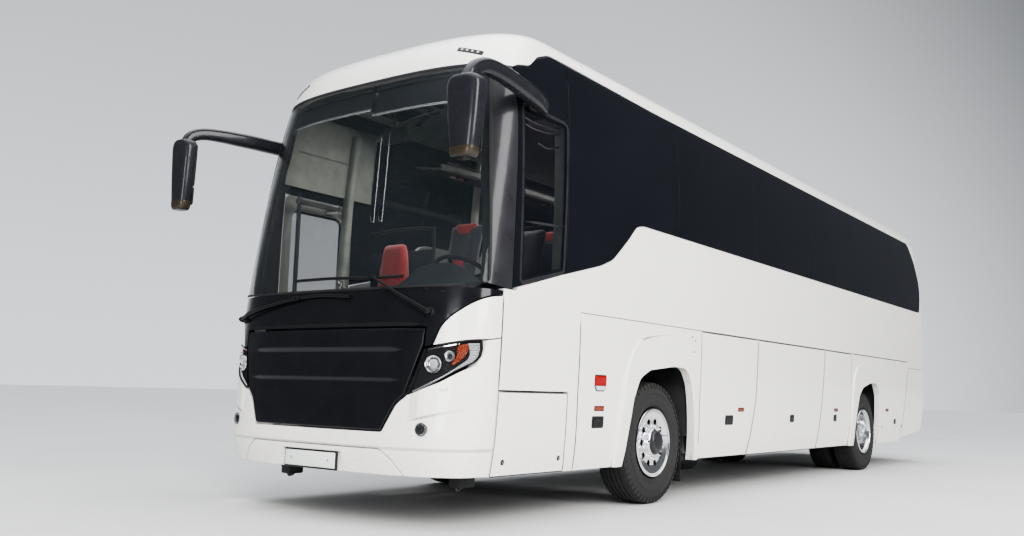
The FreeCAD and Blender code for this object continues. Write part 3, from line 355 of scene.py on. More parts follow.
def window_gap():
    """the driver's pane is clearer than the dark panes behind it"""
    m = M["tinted_glass"]
    nt = m.node_tree
    b = [n for n in nt.nodes if n.type == "BSDF_PRINCIPLED"][0]
    o = zpos(nt)
    x, y, z = o[0], o[1], o[2]
    yl = mathn(nt, "ADD", mathn(nt, "MULTIPLY", z, -0.020), y)
    yr = mathn(nt, "ADD", mathn(nt, "MULTIPLY", z, -0.045), y)
    k = maprange(nt, yl, 0.745 - 0.034 - YS, 0.757 - 0.034 - YS)
    k = mathn(nt, "MULTIPLY", k, maprange(nt, yr, 1.178 - YS, 1.190 - YS, 1.0, 0.0))
    k = mathn(nt, "MULTIPLY", k, maprange(nt, z, 2.955, 2.967, 1.0, 0.0))
    zl = mathn(nt, "ADD", mathn(nt, "MULTIPLY", y, -0.25), z)
    k = mathn(nt, "MULTIPLY", k, maprange(nt, zl, 1.530 + 0.25 * YS, 1.542 + 0.25 * YS))
    k = mathn(nt, "MULTIPLY", k, maprange(nt, x, 0.0, 0.1))
    nt.links.new(mathn(nt, "SUBTRACT", 0.94, mathn(nt, "MULTIPLY", k, 0.50)), b.inputs["Alpha"])


window_gap()
glass("driver_glass", (0.010, 0.012, 0.014), 0.30, 0.012, 1.42)
glass("clear_glass", (0.018, 0.024, 0.027), 0.22, 0.030, 1.32, gloss=0.8)
glass("lens_clear", (0.05, 0.052, 0.055), 0.05, 0.03, 1.08, gloss=0.05)
glass("lens_red", (0.26, 0.005, 0.005), 0.96, 0.06, 1.45, spec=0.3)
glass("lens_amber", (0.15, 0.017, 0.0015), 0.96, 0.06, 1.45, spec=0.5, var=0.5)
glass("lens_cell", (0.33, 0.34, 0.36), 0.92, 0.08, 1.45, spec=0.5, var=0.4)
glass("lens_white", (0.55, 0.57, 0.60), 0.9, 0.05, 1.45, spec=0.5)


def fabric(name, c1, c2, scale=900.0, rough=0.9):
    m, nt, b = new_mat(name)
    co = coords(nt)
    w1 = nt.nodes.new("ShaderNodeTexWave")
    w1.bands_direction = "Z"
    w1.inputs["Scale"].default_value = scale * 0.5
    w2 = nt.nodes.new("ShaderNodeTexWave")
    w2.bands_direction = "X"
    w2.inputs["Scale"].default_value = scale * 0.5
    nt.links.new(co, w1.inputs["Vector"])
    nt.links.new(co, w2.inputs["Vector"])
    weave = mathn(nt, "MULTIPLY", w1.outputs["Fac"], w2.outputs["Fac"])
    n1 = noise(nt, 24.0, 6, 0.7)
    col = ramp(nt, n1, [(0.32, c1), (0.68, c2)])
    col = mix(nt, mathn(nt, "MULTIPLY", weave, 0.35), col, tuple(min(1, c * 1.6) for c in c2))
    nt.links.new(col, b.inputs["Base Color"])
    b.inputs["Roughness"].default_value = rough
    b.inputs["Sheen Weight"].default_value = 0.35
    b.inputs["Sheen Roughness"].default_value = 0.5
    bump(nt, b, weave, 0.4, 0.0008)
    M[name] = m
    return m


fabric("seat_fabric", (0.012, 0.012, 0.016), (0.030, 0.028, 0.036))
fabric("seat_red", (0.16, 0.012, 0.014), (0.24, 0.022, 0.024))


def tyre_mat():
    m, nt, b = new_mat("tyre_rubber")
    n1 = noise(nt, 14.0, 8, 0.7)
    n2 = noise(nt, 160.0, 4)
    col = ramp(nt, n1, [(0.34, (0.008, 0.008, 0.0085)), (0.62, (0.018, 0.0175, 0.017)), (0.80, (0.040, 0.038, 0.034))])
    nt.links.new(col, b.inputs["Base Color"])
    nt.links.new(maprange(nt, n1, 0.3, 0.7, 0.62, 0.88), b.inputs["Roughness"])
    bump(nt, b, n2, 0.18, 0.001)
    M["tyre_rubber"] = m


tyre_mat()


def lamp_mat():
    """reflector bowl with fine facets"""
    m, nt, b = new_mat("reflector")
    b.inputs["Metallic"].default_value = 1.0
    b.inputs["Roughness"].default_value = 0.12
    v = nt.nodes.new("ShaderNodeTexVoronoi")
    v.inputs["Scale"].default_value = 90.0
    nt.links.new(coords(nt), v.inputs["Vector"])
    nt.links.new(ramp(nt, v.outputs["Distance"], [(0.0, (0.55, 0.56, 0.58)), (0.6, (0.85, 0.86, 0.88))]), b.inputs["Base Color"])
    bump(nt, b, v.outputs["Distance"], 0.5, 0.002)
    M["reflector"] = m


lamp_mat()

SLOT_OF = {}
for sp in frame["record"]["subparts"]:
    SLOT_OF[sp["node"]] = sp.get("material_slot")
SLOT_MAT = {"white_paint": "white_paint", "black_gloss": "black_gloss", "tinted_glass": "tinted_glass", "clear_glass": "clear_glass", "tyre_rubber": "tyre_rubber", "polished_aluminium": "polished_aluminium",
            "chassis_steel": "chassis_steel", "cast_steel": "cast_steel", "black_plastic": "black_plastic", "floor_cover": "floor_cover", "seat_fabric": "seat_fabric", "lamp_red": "lens_red", "lamp_clear": "lens_white",
            "plate_grey": "plate_blank", "galvanised": "galvanised", "trim_light": "trim_light"}


def dress(node_name, mat):
    o = NODES[node_name]
    o.data.materials.clear()
    o.data.materials.append(M[mat])


for nm in NODES:
    dress(nm, SLOT_MAT.get(SLOT_OF.get(nm), "black_plastic"))
for nm in ("roof", "roof_hatches", "roof_air_conditioner"):
    dress(nm, "white_roof")
dress("pillar_covers", "black_satin")
dress("front_bumper", "bumper_paint")
dress("front_door_glass", "driver_glass")


def link(name, verts, faces, mat, body="coach_body", angle=38.0, mats=None, fmats=None, slot=True, smooth=True):
    me = bpy.data.meshes.new(name)
    me.from_pydata([tuple(v) for v in verts], [], faces)
    me.validate()
    o = bpy.data.objects.new(name, me)
    scene.collection.objects.link(o)
    for q in (mats or [mat]):
        me.materials.append(M[q])
    if fmats is not None and len(fmats) == len(me.polygons):
        me.polygons.foreach_set("material_index", fmats)
    if smooth:
        me.polygons.foreach_set("use_smooth", [True] * len(me.polygons))
        me.set_sharp_from_angle(angle=math.radians(angle))
    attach(o, body)
    return o


class Build:
    """collects several shells into one mesh with several finishes"""

    def __init__(self):
        self.v, self.f, self.m, self.mats = [], [], [], []

    def add(self, verts, faces, mat):
        if mat not in self.mats:
            self.mats.append(mat)
        k = len(self.v)
        i = self.mats.index(mat)
        self.v += [tuple(v) for v in verts]
        self.f += [tuple(a + k for a in f) for f in faces]
        self.m += [i] * len(faces)
        return self

    def xadd(self, vf, mat):
        return self.add(vf[0], vf[1], mat)

    def mirror(self):
        b = Build()
        b.mats = list(self.mats)
        b.v = [(-x, y, z) for x, y, z in self.v]
        b.f = [tuple(reversed(f)) for f in self.f]
        b.m = list(self.m)
        return b

    def done(self, name, body="coach_body", angle=38.0):
        return link(name, self.v, self.f, self.mats[0], body, angle, self.mats, self.m)


def g_rbox(lo, hi, r=0.004, seg=2, mtx=None, taper=None):
    """rounded box; metres; taper(co) may reshape the corners before rounding"""
    bm = bmesh.new()
    bmesh.ops.create_cube(bm, size=1.0)
    lo, hi = Vector(lo), Vector(hi)
    for v in bm.verts:
        v.co = Vector(((v.co.x + 0.5) * (hi.x - lo.x) + lo.x, (v.co.y + 0.5) * (hi.y - lo.y) + lo.y, (v.co.z + 0.5) * (hi.z - lo.z) + lo.z))
        if taper:
            v.co = taper(v.co)
    r = min(r, 0.45 * min(abs(hi[i] - lo[i]) for i in range(3)))
    bmesh.ops.bevel(bm, geom=list(bm.edges), offset=r, segments=seg, profile=0.5, affect="EDGES", clamp_overlap=True)
    bm.verts.index_update()
    vs = [(mtx @ v.co if mtx else v.co.copy()) for v in bm.verts]
    fs = [tuple(v.index for v in f.verts) for f in bm.faces]
    bm.free()
    return vs, fs


def frame_to(direction, upv=(0, 0, 1)):
    """matrix whose Z is direction"""
    z = Vector(direction).normalized()
    x = Vector(upv).cross(z)
    if x.length < 1e-4:
        x = Vector((1, 0, 0)).cross(z)
    x.normalize()
    y = z.cross(x)
    return Matrix(((x.x, y.x, z.x, 0), (x.y, y.y, z.y, 0), (x.z, y.z, z.z, 0), (0, 0, 0, 1)))


def g_lathe(profile, centre, axis=(1, 0, 0), n=64, closed=False, scale=(1, 1)):
    """profile of (along, radius) turned about axis through centre"""
    mt = Matrix.Translation(Vector(centre)) @ frame_to(axis)
    vs, fs = [], []
    for a, r in profile:
        for k in range(n):
            t = 2 * math.pi * k / n
            vs.append(mt @ Vector((r * math.cos(t) * scale[0], r * math.sin(t) * scale[1], a)))
    rows = len(profile)
    rng_rows = rows if closed else rows - 1
    for i in range(rng_rows):
        j = (i + 1) % rows
        for k in range(n):
            k2 = (k + 1) % n
            fs.append((i * n + k, i * n + k2, j * n + k2, j * n + k))
    if not closed:
        for i, rev in ((0, True), (rows - 1, False)):
            if profile[i][1] > 1e-6:
                ring = [i * n + k for k in range(n)]
                fs.append(tuple(reversed(ring)) if rev else tuple(ring))
    return vs, fs


def catmull(pts, per=6):
    pts = [Vector(p) for p in pts]
    ext = [2 * pts[0] - pts[1]] + pts + [2 * pts[-1] - pts[-2]]
    out = []
    for i in range(1, len(ext) - 2):
        p0, p1, p2, p3 = ext[i - 1:i + 3]
        for k in range(per):
            t = k / per
            out.append(0.5 * ((2 * p1) + (p2 - p0) * t + (2 * p0 - 5 * p1 + 4 * p2 - p3) * t * t + (3 * p1 - p0 - 3 * p2 + p3) * t ** 3))
    out.append(pts[-1])
    return out


def g_sweep(path, section, upv=(0, 0, 1), caps=True, closed=False):
    """path of points; section(i, t) gives (a, b) offsets along side and up"""
    path = [Vector(p) for p in path]
    n = len(path)
    vs, fs = [], []
    m = None
    side = None
    for i, p in enumerate(path):
        if closed:
            d = path[(i + 1) % n] - path[i - 1]
        else:
            d = path[min(n - 1, i + 1)] - path[max(0, i - 1)]
        d.normalize()
        if side is None:
            side = Vector(upv).cross(d)
            if side.length < 1e-3:
                side = Vector((1, 0, 0)).cross(d)
        side = (side - d * side.dot(d)).normalized()
        u = d.cross(side)
        sec = section(i, i / max(1, n - 1))
        m = len(sec)
        for a, b in sec:
            vs.append(p + side * a + u * b)
    for i in range(n if closed else n - 1):
        j = (i + 1) % n
        for k in range(m):
            k2 = (k + 1) % m
            fs.append((i * m + k, j * m + k, j * m + k2, i * m + k2))
    if caps and not closed:
        fs.append(tuple(range(m)))
        fs.append(tuple(reversed([(n - 1) * m + k for k in range(m)])))
    return vs, fs


def ring(r, n=12, ry=None):
    ry = r if ry is None else ry
    return [(r * math.cos(2 * math.pi * k / n), ry * math.sin(2 * math.pi * k / n)) for k in range(n)]


def g_tube(pts, r, n=12, per=5, smooth=True, closed=False):
    p = catmull(pts, per) if smooth and len(pts) > 2 else [Vector(q) for q in pts]
    if len(p) == 2:
        a, b = p
        ex = min(r * 0.4, (b - a).length * 0.2)
        d = (b - a).normalized()
        p = [a, a + d * ex, a + (b - a) * 0.5, b - d * ex, b]
        return g_sweep(p, lambda i, t: ring(r * (0.75 if i in (0, 4) else 1.0), n), closed=closed)
    return g_sweep(p, lambda i, t: ring(r, n), closed=closed)


def round_poly(pts, default=0.0):
    """corner rounding; points (u, v[, r]); returns plain points"""
    out = []
    n = len(pts)
    for i in range(n):
        a, b, c = pts[i - 1], pts[i], pts[(i + 1) % n]
        r = b[2] if len(b) > 2 else default
        pa, pb, pc = Vector(a[:2]), Vector(b[:2]), Vector(c[:2])
        d1, d2 = (pa - pb), (pc - pb)
        l1, l2 = d1.length, d2.length
        if r <= 0 or l1 < 1e-6 or l2 < 1e-6:
            out.append((pb.x, pb.y))
            continue
        d1.normalize()
        d2.normalize()
        ang = math.acos(max(-1, min(1, d1.dot(d2))))
        if ang > math.radians(178):
            out.append((pb.x, pb.y))
            continue
        t = min(r / math.tan(ang / 2), 0.48 * l1, 0.48 * l2)
        p, q = pb + d1 * t, pb + d2 * t
        steps = max(3, int((math.pi - ang) / 0.16))
        for k in range(steps + 1):
            s = k / steps
            v = p * (1 - s) ** 2 + pb * 2 * s * (1 - s) + q * s * s
            out.append((v.x, v.y))
    return out


def densify(poly, step):
    out = []
    n = len(poly)
    for i in range(n):
        a, b = Vector(poly[i]), Vector(poly[(i + 1) % n])
        ln = (b - a).length
        if ln < 1e-6:
            continue
        k = max(1, int(math.ceil(ln / step)))
        for j in range(k):
            p = a + (b - a) * j / k
            out.append((p.x, p.y))
    return out


def area2(poly):
    return sum(poly[i][0] * poly[(i + 1) % len(poly)][1] - poly[(i + 1) % len(poly)][0] * poly[i][1] for i in range(len(poly)))


def inset(poly, d):
    """moves a counter-clockwise outline inwards"""
    out = []
    n = len(poly)
    for i in range(n):
        a, b, c = Vector(poly[i - 1]), Vector(poly[i]), Vector(poly[(i + 1) % n])
        e1, e2 = (b - a), (c - b)
        e1.normalize()
        e2.normalize()
        n1, n2 = Vector((-e1.y, e1.x)), Vector((-e2.y, e2.x))
        k = max(0.35, 1 + n1.dot(n2))
        q = b + (n1 + n2) * d / k
        out.append((q.x, q.y))
    return out


def inside(poly, pts):
    p = np.array(poly)
    q = np.array(pts)
    x, y = q[:, 0][:, None], q[:, 1][:, None]
    x1, y1 = p[:, 0][None], p[:, 1][None]
    x2, y2 = np.roll(p[:, 0], -1)[None], np.roll(p[:, 1], -1)[None]
    cond = ((y1 > y) != (y2 > y)) & (x < (x2 - x1) * (y - y1) / (y2 - y1 + 1e-12) + x1)
    return (cond.sum(1) % 2) == 1


def edge_dist(poly, pts):
    p = np.array(poly)
    q = np.array(pts)
    a = p[None]
    b = np.roll(p, -1, 0)[None]
    ab = b - a
    t = ((q[:, None] - a) * ab).sum(2) / ((ab ** 2).sum(2) + 1e-12)
    t = np.clip(t, 0, 1)
    d = q[:, None] - (a + ab * t[..., None])
    return np.sqrt((d ** 2).sum(2)).min(1)


def g_patch(poly, mp, h=2.0, depth=6.0, r=2.0, res=25.0, detail=None, back=False, gx=None):
    """a shell following mp(u, v, off) over the outline, its rim rounded and turned in by depth"""
    if area2(poly) < 0:
        poly = poly[::-1]
    b = densify(poly, res)
    det = detail or (lambda u, v: 0.0)
    rings = [(b, h - depth), (b, h - r), (inset(b, r * 0.3), h - r * 0.32), (inset(b, r), h), (inset(b, r + 0.8), h)]
    n = len(b)
    vs, fs = [], []
    for pts, off in rings:
        for (u, v) in pts:
            vs.append(mp(u, v, off + det(u, v)))
    for i in range(len(rings) - 1):
        for k in range(n):
            k2 = (k + 1) % n
            fs.append((i * n + k, i * n + k2, (i + 1) * n + k2, (i + 1) * n + k))
    last = rings[-1][0]
    us, vv = [p[0] for p in last], [p[1] for p in last]
    grid = []
    gxr = gx or res
    for i in range(int((max(us) - min(us)) / gxr) + 1):
        for j in range(int((max(vv) - min(vv)) / res) + 1):
            grid.append((min(us) + (i + 0.5) * gxr, min(vv) + (j + 0.5) * res))
    if grid:
        ok = inside(last, grid)
        grid = [g for g, o in zip(grid, ok) if o]
    if grid:
        dist = edge_dist(last, grid)
        lim = 0.45 * min(res, gxr)
        grid = [g for g, o in zip(grid, dist) if o > lim]
    cv = [Vector(p) for p in last] + [Vector(g) for g in grid]
    ce = [(k, (k + 1) % n) for k in range(n)]
    rv, re_, rf, ov, oe, of_ = delaunay_2d_cdt(cv, ce, [], 1, 1e-6)
    base = len(vs) - n
    idx = []
    for i, src in enumerate(ov):
        s = src[0] if len(src) else None
        if s is not None and s < n:
            idx.append(base + s)
        else:
            u, v = rv[i]
            vs.append(mp(u, v, h + det(u, v)))
            idx.append(len(vs) - 1)
    for f in rf:
        fs.append(tuple(idx[q] for q in f))
    # orient outwards: compare with the offset direction at the first inner face
    f = fs[-1]
    p0, p1, p2 = (Vector(vs[q]) for q in f[:3])
    nn = (p1 - p0).cross(p2 - p0)
    out = Vector(mp(last[0][0], last[0][1], 10.0)) - Vector(mp(last[0][0], last[0][1], 0.0))
    # the inner faces follow the outline's turning sense, rings follow it too
    if nn.dot(out) < 0:
        fs = [tuple(reversed(q)) for q in fs]
    # ring faces may turn the other way; make them agree through a bmesh
    bm = bmesh.new()
    bv = [bm.verts.new(v) for v in vs]
    for q in fs:
        if len(set(q)) == len(q):
            try:
                bm.faces.new([bv[k] for k in q])
            except ValueError:
                pass
    bmesh.ops.recalc_face_normals(bm, faces=bm.faces)
    bm.verts.index_update()
    bm.faces.ensure_lookup_table()
    sm = sum((fc.normal.dot(out) * fc.calc_area() for fc in bm.faces))
    vs = [v.co.copy() for v in bm.verts]
    fs = [tuple(v.index for v in fc.verts) for fc in bm.faces]
    if sm < 0:
        fs = [tuple(reversed(q)) for q in fs]
    bm.free()
    return vs, fs


def map_front(u, v, off):
    e = 3.0
    y = front_y(u, v)
    dx = (front_y(u + e, v) - front_y(u - e, v)) / (2 * e)
    dz = (front_y(u, v + e) - front_y(u, v - e)) / (2 * e)
    n = Vector((dx, -1.0, dz)).normalized()
    return L(u + n.x * off, y + n.y * off, v + n.z * off)


def front_normal(u, v):
    return (map_front(u, v, 10.0) - map_front(u, v, 0.0)).normalized()


def map_side(s):
    def f(u, v, off):
        e = 3.0
        x = side_x(u, v)
        dy = (side_x(u + e, v) - side_x(u - e, v)) / (2 * e)
        dz = (side_x(u, v + e) - side_x(u, v - e)) / (2 * e)
        n = Vector((1.0, -dy, -dz)).normalized()
        return L(s * (x + n.x * off), u + n.y * off, v + n.z * off)
    return f


def map_rear(u, v, off):
    e = 3.0
    y = rear_y(u, v)
    dx = (rear_y(u + e, v) - rear_y(u - e, v)) / (2 * e)
    dz = (rear_y(u, v + e) - rear_y(u, v - e)) / (2 * e)
    n = Vector((-dx, 1.0, -dz)).normalized()
    return L(u + n.x * off, y + n.y * off, v + n.z * off)


def circle_poly(cu, cv, r, n=32, rv=None):
    rv = rv or r
    return [(cu + r * math.cos(2 * math.pi * k / n), cv + rv * math.sin(2 * math.pi * k / n)) for k in range(n)]


def rect_poly(u0, u1, v0, v1, r=8.0):
    return round_poly([(u0, v0, r), (u1, v0, r), (u1, v1, r), (u0, v1, r)])


def mirror_poly(p):
    return [(-a[0],) + tuple(a[1:]) for a in p][::-1]


def g_strip(pts, half, off, th, mp, taper_ends=True):
    """a raised bead along (u, v) points on a surface"""
    vs, fs = [], []
    n = len(pts)
    for i, (u, v) in enumerate(pts):
        a, b = pts[max(0, i - 1)], pts[min(n - 1, i + 1)]
        d = Vector((b[0] - a[0], b[1] - a[1]))
        d.normalize()
        s = Vector((-d.y, d.x))
        k = 0.35 if taper_ends and i in (0, n - 1) else 1.0
        for w, o in ((-half * k, off), (-half * k * 0.92, off + th * 0.7 * k), (-half * 0.55 * k, off + th * k), (half * 0.55 * k, off + th * k), (half * k * 0.92, off + th * 0.7 * k), (half * k, off)):
            vs.append(mp(u + s.x * w, v + s.y * w, o))
    for i in range(n - 1):
        for k in range(5):
            fs.append((i * 6 + k, i * 6 + k + 1, (i + 1) * 6 + k + 1, (i + 1) * 6 + k))
    fs.append(tuple(range(6)))
    fs.append(tuple(reversed([(n - 1) * 6 + k for k in range(6)])))
    bm = bmesh.new()
    bv = [bm.verts.new(v) for v in vs]
    for q in fs:
        try:
            bm.faces.new([bv[k] for k in q])
        except ValueError:
            pass
    bmesh.ops.recalc_face_normals(bm, faces=bm.faces)
    bm.verts.index_update()
    out = Vector(mp(pts[0][0], pts[0][1], 10.0)) - Vector(mp(pts[0][0], pts[0][1], 0.0))
    sm = sum(fc.normal.dot(out) * fc.calc_area() for fc in bm.faces)
    vs = [v.co.copy() for v in bm.verts]
    fs = [tuple(v.index for v in fc.verts) for fc in bm.faces]
    if sm < 0:
        fs = [tuple(reversed(q)) for q in fs]
    bm.free()
    return vs, fs


def smooth_line(pts, per=5):
    return [(p.x, p.y) for p in catmull([(a, b, 0) for a, b in pts], per)]

# ------------------------------------------------------------------ dark centre of the front
def ridge(z, zc, w):
    return math.exp(-((z - zc) / w) ** 2)


def flap_detail(x, z):
    """three slats laid one over the other, each with a drawn-in lower edge"""
    ax = abs(x)
    fade = max(0.0, min(1.0, (840 - ax) / 160.0))
    d = -5.0
    d += 5.0 * fade * (1 / (1 + math.exp(-(z - 1188) / 12.0)))
    d -= 4.0 * fade * ridge(z, 1168, 18)
    d += 3.0 * fade * ridge(z, 1003, 22)
    d -= 3.0 * fade * ridge(z, 962, 26)
    d -= 5.0 * max(0.0, min(1.0, (z - 1310) / 30.0))
    return d


FLAP = [(649, 647, 28), (742, 832, 138), (809, 890, 30), (902, 1172, 20), (922, 1230, 60), (922, 1331, 6)]
flap_poly = round_poly(FLAP + mirror_poly(FLAP))
o = link("front_flap_skin", *g_patch(flap_poly, map_front, h=2.0, depth=24.0, r=5.0, res=17.0, detail=flap_detail, gx=30.0), "black_gloss", "front_flap", 50)
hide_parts("front_flap")
b = Build()
b.xadd(g_strip(densify([(-238, 654), (-238, 756), (116, 756), (116, 654)], 20)[:-8], 1.6, -4.4, 0.9, map_front), "seam_black")
b.done("tow_cover_line", "front_flap")
# dull shadow of the intake slot: its upper part under the cowl, its lower part along the flap
b = Build()
b.xadd(g_strip([(-885 + 59.0 * k, 1359) for k in range(31)], 13.0, 0.1, 0.9, map_front), "seam_black")
b.done("intake_slot_upper")
b = Build()
b.xadd(g_strip([(-885 + 59.0 * k, 1322) for k in range(31)], 8.5, -8.0, 1.0, map_front), "seam_black")
b.done("intake_slot_lower", "front_flap")

# ------------------------------------------------------------------ head lamps
def lamp_unit():
    """left-hand lamp, local millimetres mapped on the front surface"""
    b = Build()
    poly = round_poly([(934, 1190, 10), (1020, 1214, 200), (1097, 1230, 300), (1180, 1250, 300), (1241, 1262, 10), (1243, 1200, 100), (1238, 1150, 60), (1222, 1108, 60), (1053, 990, 300), (838, 887, 16)])
    # dark bowl: floor set back, with side walls
    b.xadd(g_patch(poly, map_front, h=-34.0, depth=3.0, r=1.0, res=22.0), "seam_black")
    # walls
    pb = densify(poly, 14.0)
    if area2(pb) < 0:
        pb = pb[::-1]
    pin = inset(pb, 9.0)
    n = len(pb)
    vs, fs = [], []
    for (u, v), (ui, vi) in zip(pb, pin):
        vs.append(map_front(u, v, -1.5))
        vs.append(map_front(u + (ui - u) * 0.3, v + (vi - v) * 0.3, -2.0))
        vs.append(map_front(ui, vi, -20.0))
        vs.append(map_front(ui, vi, -34.0))
    for k in range(n):
        k2 = (k + 1) % n
        for j in range(3):
            fs.append((k * 4 + j, k * 4 + j + 1, k2 * 4 + j + 1, k2 * 4 + j))
    b.add(vs, fs, "seam_black")
    # main lamp: deep bowl with ring and domed projector
    for (cx, cz, R, inner, kind) in ((1002, 1092, 58, 0.70, "main"), (1102, 1148, 34, 0.62, "proj")):
        c = map_front(cx, cz, -34.0)
        nrm = front_normal(cx, cz)
        ax = (nrm + Vector((0.0, -0.7, 0.0))).normalized()
        r = R / 1000.0
        b.xadd(g_lathe([(0.0, r * 1.02), (0.012, r * 1.06), (0.024, r * 1.05), (0.029, r * 1.0), (0.028, r * 0.94), (0.020, r * 0.90), (0.012, r * 0.86)], c, ax, 40), "chrome")
        b.xadd(g_lathe([(0.016, r * 0.89), (0.006, r * 0.80), (-0.002, r * 0.62), (-0.006, r * 0.30), (-0.007, 0.0005)], c, ax, 40), "reflector")
        if kind == "main":
            b.xadd(g_lathe([(0.000, r * 0.50), (0.010, r * 0.52), (0.018, r * 0.50), (0.022, r * 0.40), (0.0225, 0.0005)], c, ax, 32), "lens_cell")
            b.xadd(g_lathe([(0.000, r * 0.56), (0.014, r * 0.60), (0.018, r * 0.57), (0.016, r * 0.50)], c, ax, 32), "chrome")
        else:
            b.xadd(g_lathe([(0.0, r * 0.60), (0.012, r * 0.60), (0.019, r * 0.46), (0.022, r * 0.25), (0.023, 0.0005)], c, ax, 32), "black_gloss")
    # amber wedge of facets
    aw = round_poly([(1136, 1212, 8), (1166, 1230, 8), (1194, 1236, 8), (1196, 1190, 20), (1182, 1152, 20), (1156, 1118, 14), (1124, 1088, 8), (1108, 1094, 8), (1132, 1128, 8), (1140, 1168, 8)])

    def facets(u, v):
        return 9.0 * (abs(((u + v * 0.6) / 17.0) % 1.0 - 0.5) + abs(((v - u * 0.5) / 19.0) % 1.0 - 0.5))
    b.xadd(g_patch(aw, map_front, h=-22.0, depth=12.0, r=2.0, res=5.0, detail=facets), "lens_amber")
    # row of small clear cells along the lower and outer edge
    line = smooth_line([(868, 906), (935, 938), (1000, 972), (1062, 1008), (1120, 1046), (1178, 1088), (1212, 1120), (1228, 1160), (1232, 1205), (1230, 1240)], 4)
    run = [0.0]
    for p, q in zip(line, line[1:]):
        run.append(run[-1] + math.hypot(q[0] - p[0], q[1] - p[1]))
    total = run[-1]
    count = int(total / 17.0)

    def at(w):
        k = 0
        while k < len(run) - 2 and run[k + 1] < w:
            k += 1
        t = (w - run[k]) / (run[k + 1] - run[k])
        p, q = line[k], line[k + 1]
        ln = math.hypot(q[0] - p[0], q[1] - p[1])
        return p[0] + t * (q[0] - p[0]), p[1] + t * (q[1] - p[1]), -(q[1] - p[1]) / ln, (q[0] - p[0]) / ln
    for i in range(count):
        # each cell is a small tile; they widen into a band towards the outer end
        t = (i + 0.5) / count
        wide = 12.0 + 34.0 * max(0.0, (t - 0.45) / 0.55) ** 1.4
        g = 2.2 if t < 0.55 else 1.1
        ua, va, na, ma = at(total * i / count + g)
        ub, vb, nb2, mb = at(total * (i + 1) / count - g)
        cell = round_poly([(ua - na * 6, va - ma * 6, 2), (ub - nb2 * 6, vb - mb * 6, 2), (ub + nb2 * (wide - 6), vb + mb * (wide - 6), 2), (ua + na * (wide - 6), va + ma * (wide - 6), 2)])
        b.xadd(g_patch(cell, map_front, h=-13.0, depth=10.0, r=3.0, res=12.0), "lens_white" if t < 0.55 else "lens_cell")
    # bright strip along the top
    top = smooth_line([(948, 1186), (1020, 1203), (1100, 1220), (1150, 1231)], 5)
    b.xadd(g_strip(top, 6.0, -22.0, 10.0, map_front), "chrome")
    return b, poly


lamp_b, lamp_poly = lamp_unit()
lens = g_patch(inset(densify(lamp_poly if area2(lamp_poly) > 0 else lamp_poly[::-1], 20), 2.0), map_front, h=-0.5, depth=4.0, r=2.0, res=26.0)
bb = Build().xadd(lens, "lens_clear")
both_l = lamp_b.mirror()
hl = Build()
for q in (lamp_b, both_l):
    for mt in q.mats:
        if mt not in hl.mats:
            hl.mats.append(mt)
    k = len(hl.v)
    hl.v += q.v
    hl.f += [tuple(a + k for a in f) for f in q.f]
    hl.m += [hl.mats.index(q.mats[i]) for i in q.m]
o = hl.done("headlight_units", "coach_body", 40)
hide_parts("headlights")
o = bb.done("headlight_lens_left")
o = bb.mirror().done("headlight_lens_right")

# ------------------------------------------------------------------ fog lamps, washers, marker lamps
for s in (1, -1):
    b = Build()
    cx, cz = 957.0, 662.0
    mp = (lambda u, v, off, s=s: (lambda q: Vector((s * q.x, q.y, q.z)))(map_front(u, v, off)))
    nrm = front_normal(cx, cz)
    nrm = Vector((s * nrm.x, nrm.y, nrm.z))
    ax = (nrm + Vector((0, -0.8, 0))).normalized()
    c = mp(cx, cz, 0.0)
    b.xadd(g_patch(circle_poly(cx, cz, 42, 36), mp, h=0.8, depth=5.0, r=1.0, res=14.0), "black_satin")
    # grey ring: the bezel, its grey also standing for the painted shade of the recess round the lamp
    b.xadd(g_lathe([(-0.004, 0.044), (0.004, 0.0455), (0.0065, 0.043), (0.006, 0.039), (0.001, 0.036)], c, ax, 40), "trim_grey")
    b.xadd(g_lathe([(0.003, 0.0345), (0.002, 0.030), (0.0015, 0.018), (0.0018, 0.0005)], c, ax, 40), "reflector")
    b.xadd(g_lathe([(0.0035, 0.031), (0.0042, 0.027), (0.0036, 0.020)], c, ax, 40), "black_satin")
    b.xadd(g_lathe([(0.003, 0.016), (0.0085, 0.0165), (0.011, 0.012), (0.012, 0.0004)], c, ax, 28), "black_gloss")
    b.xadd(g_lathe([(0.004, 0.037), (0.009, 0.035), (0.0115, 0.024), (0.0125, 0.0005)], c, ax, 40), "lens_clear")
    # washer cover lines
    b.xadd(g_strip([(1057, 936), (1057, 926), (1062, 922), (1098, 926), (1103, 931), (1103, 940)], 1.4, 0.0, 0.7, mp), "trim_grey")
    b.done("fog_lamp_" + ("left" if s > 0 else "right"))
    # marker lamp in the roof brow
    b = Build()
    mk = round_poly([(808, 3402, 8), (1004, 3334, 8), (1010, 3352, 8), (1012, 3366, 8), (816, 3438, 8), (806, 3420, 8)])
    if s > 0:
        mk = round_poly([(806, 3396, 8), (1008, 3340, 8), (1014, 3374, 8), (812, 3432, 8)])
    b.xadd(g_patch(mk, mp, h=1.5, depth=8.0, r=3.0, res=18.0), "black_gloss")
    for k in range(4):
        t = (k + 0.5) / 4
        u, v = 826 + 168 * t, 3412 - 50 * t
        b.xadd(g_patch(circle_poly(u, v, 9, 12, 7), mp, h=4.0, depth=4.0, r=3.0, res=8.0), "lens_white")
    b.done("marker_lamp_" + ("left" if s > 0 else "right"))
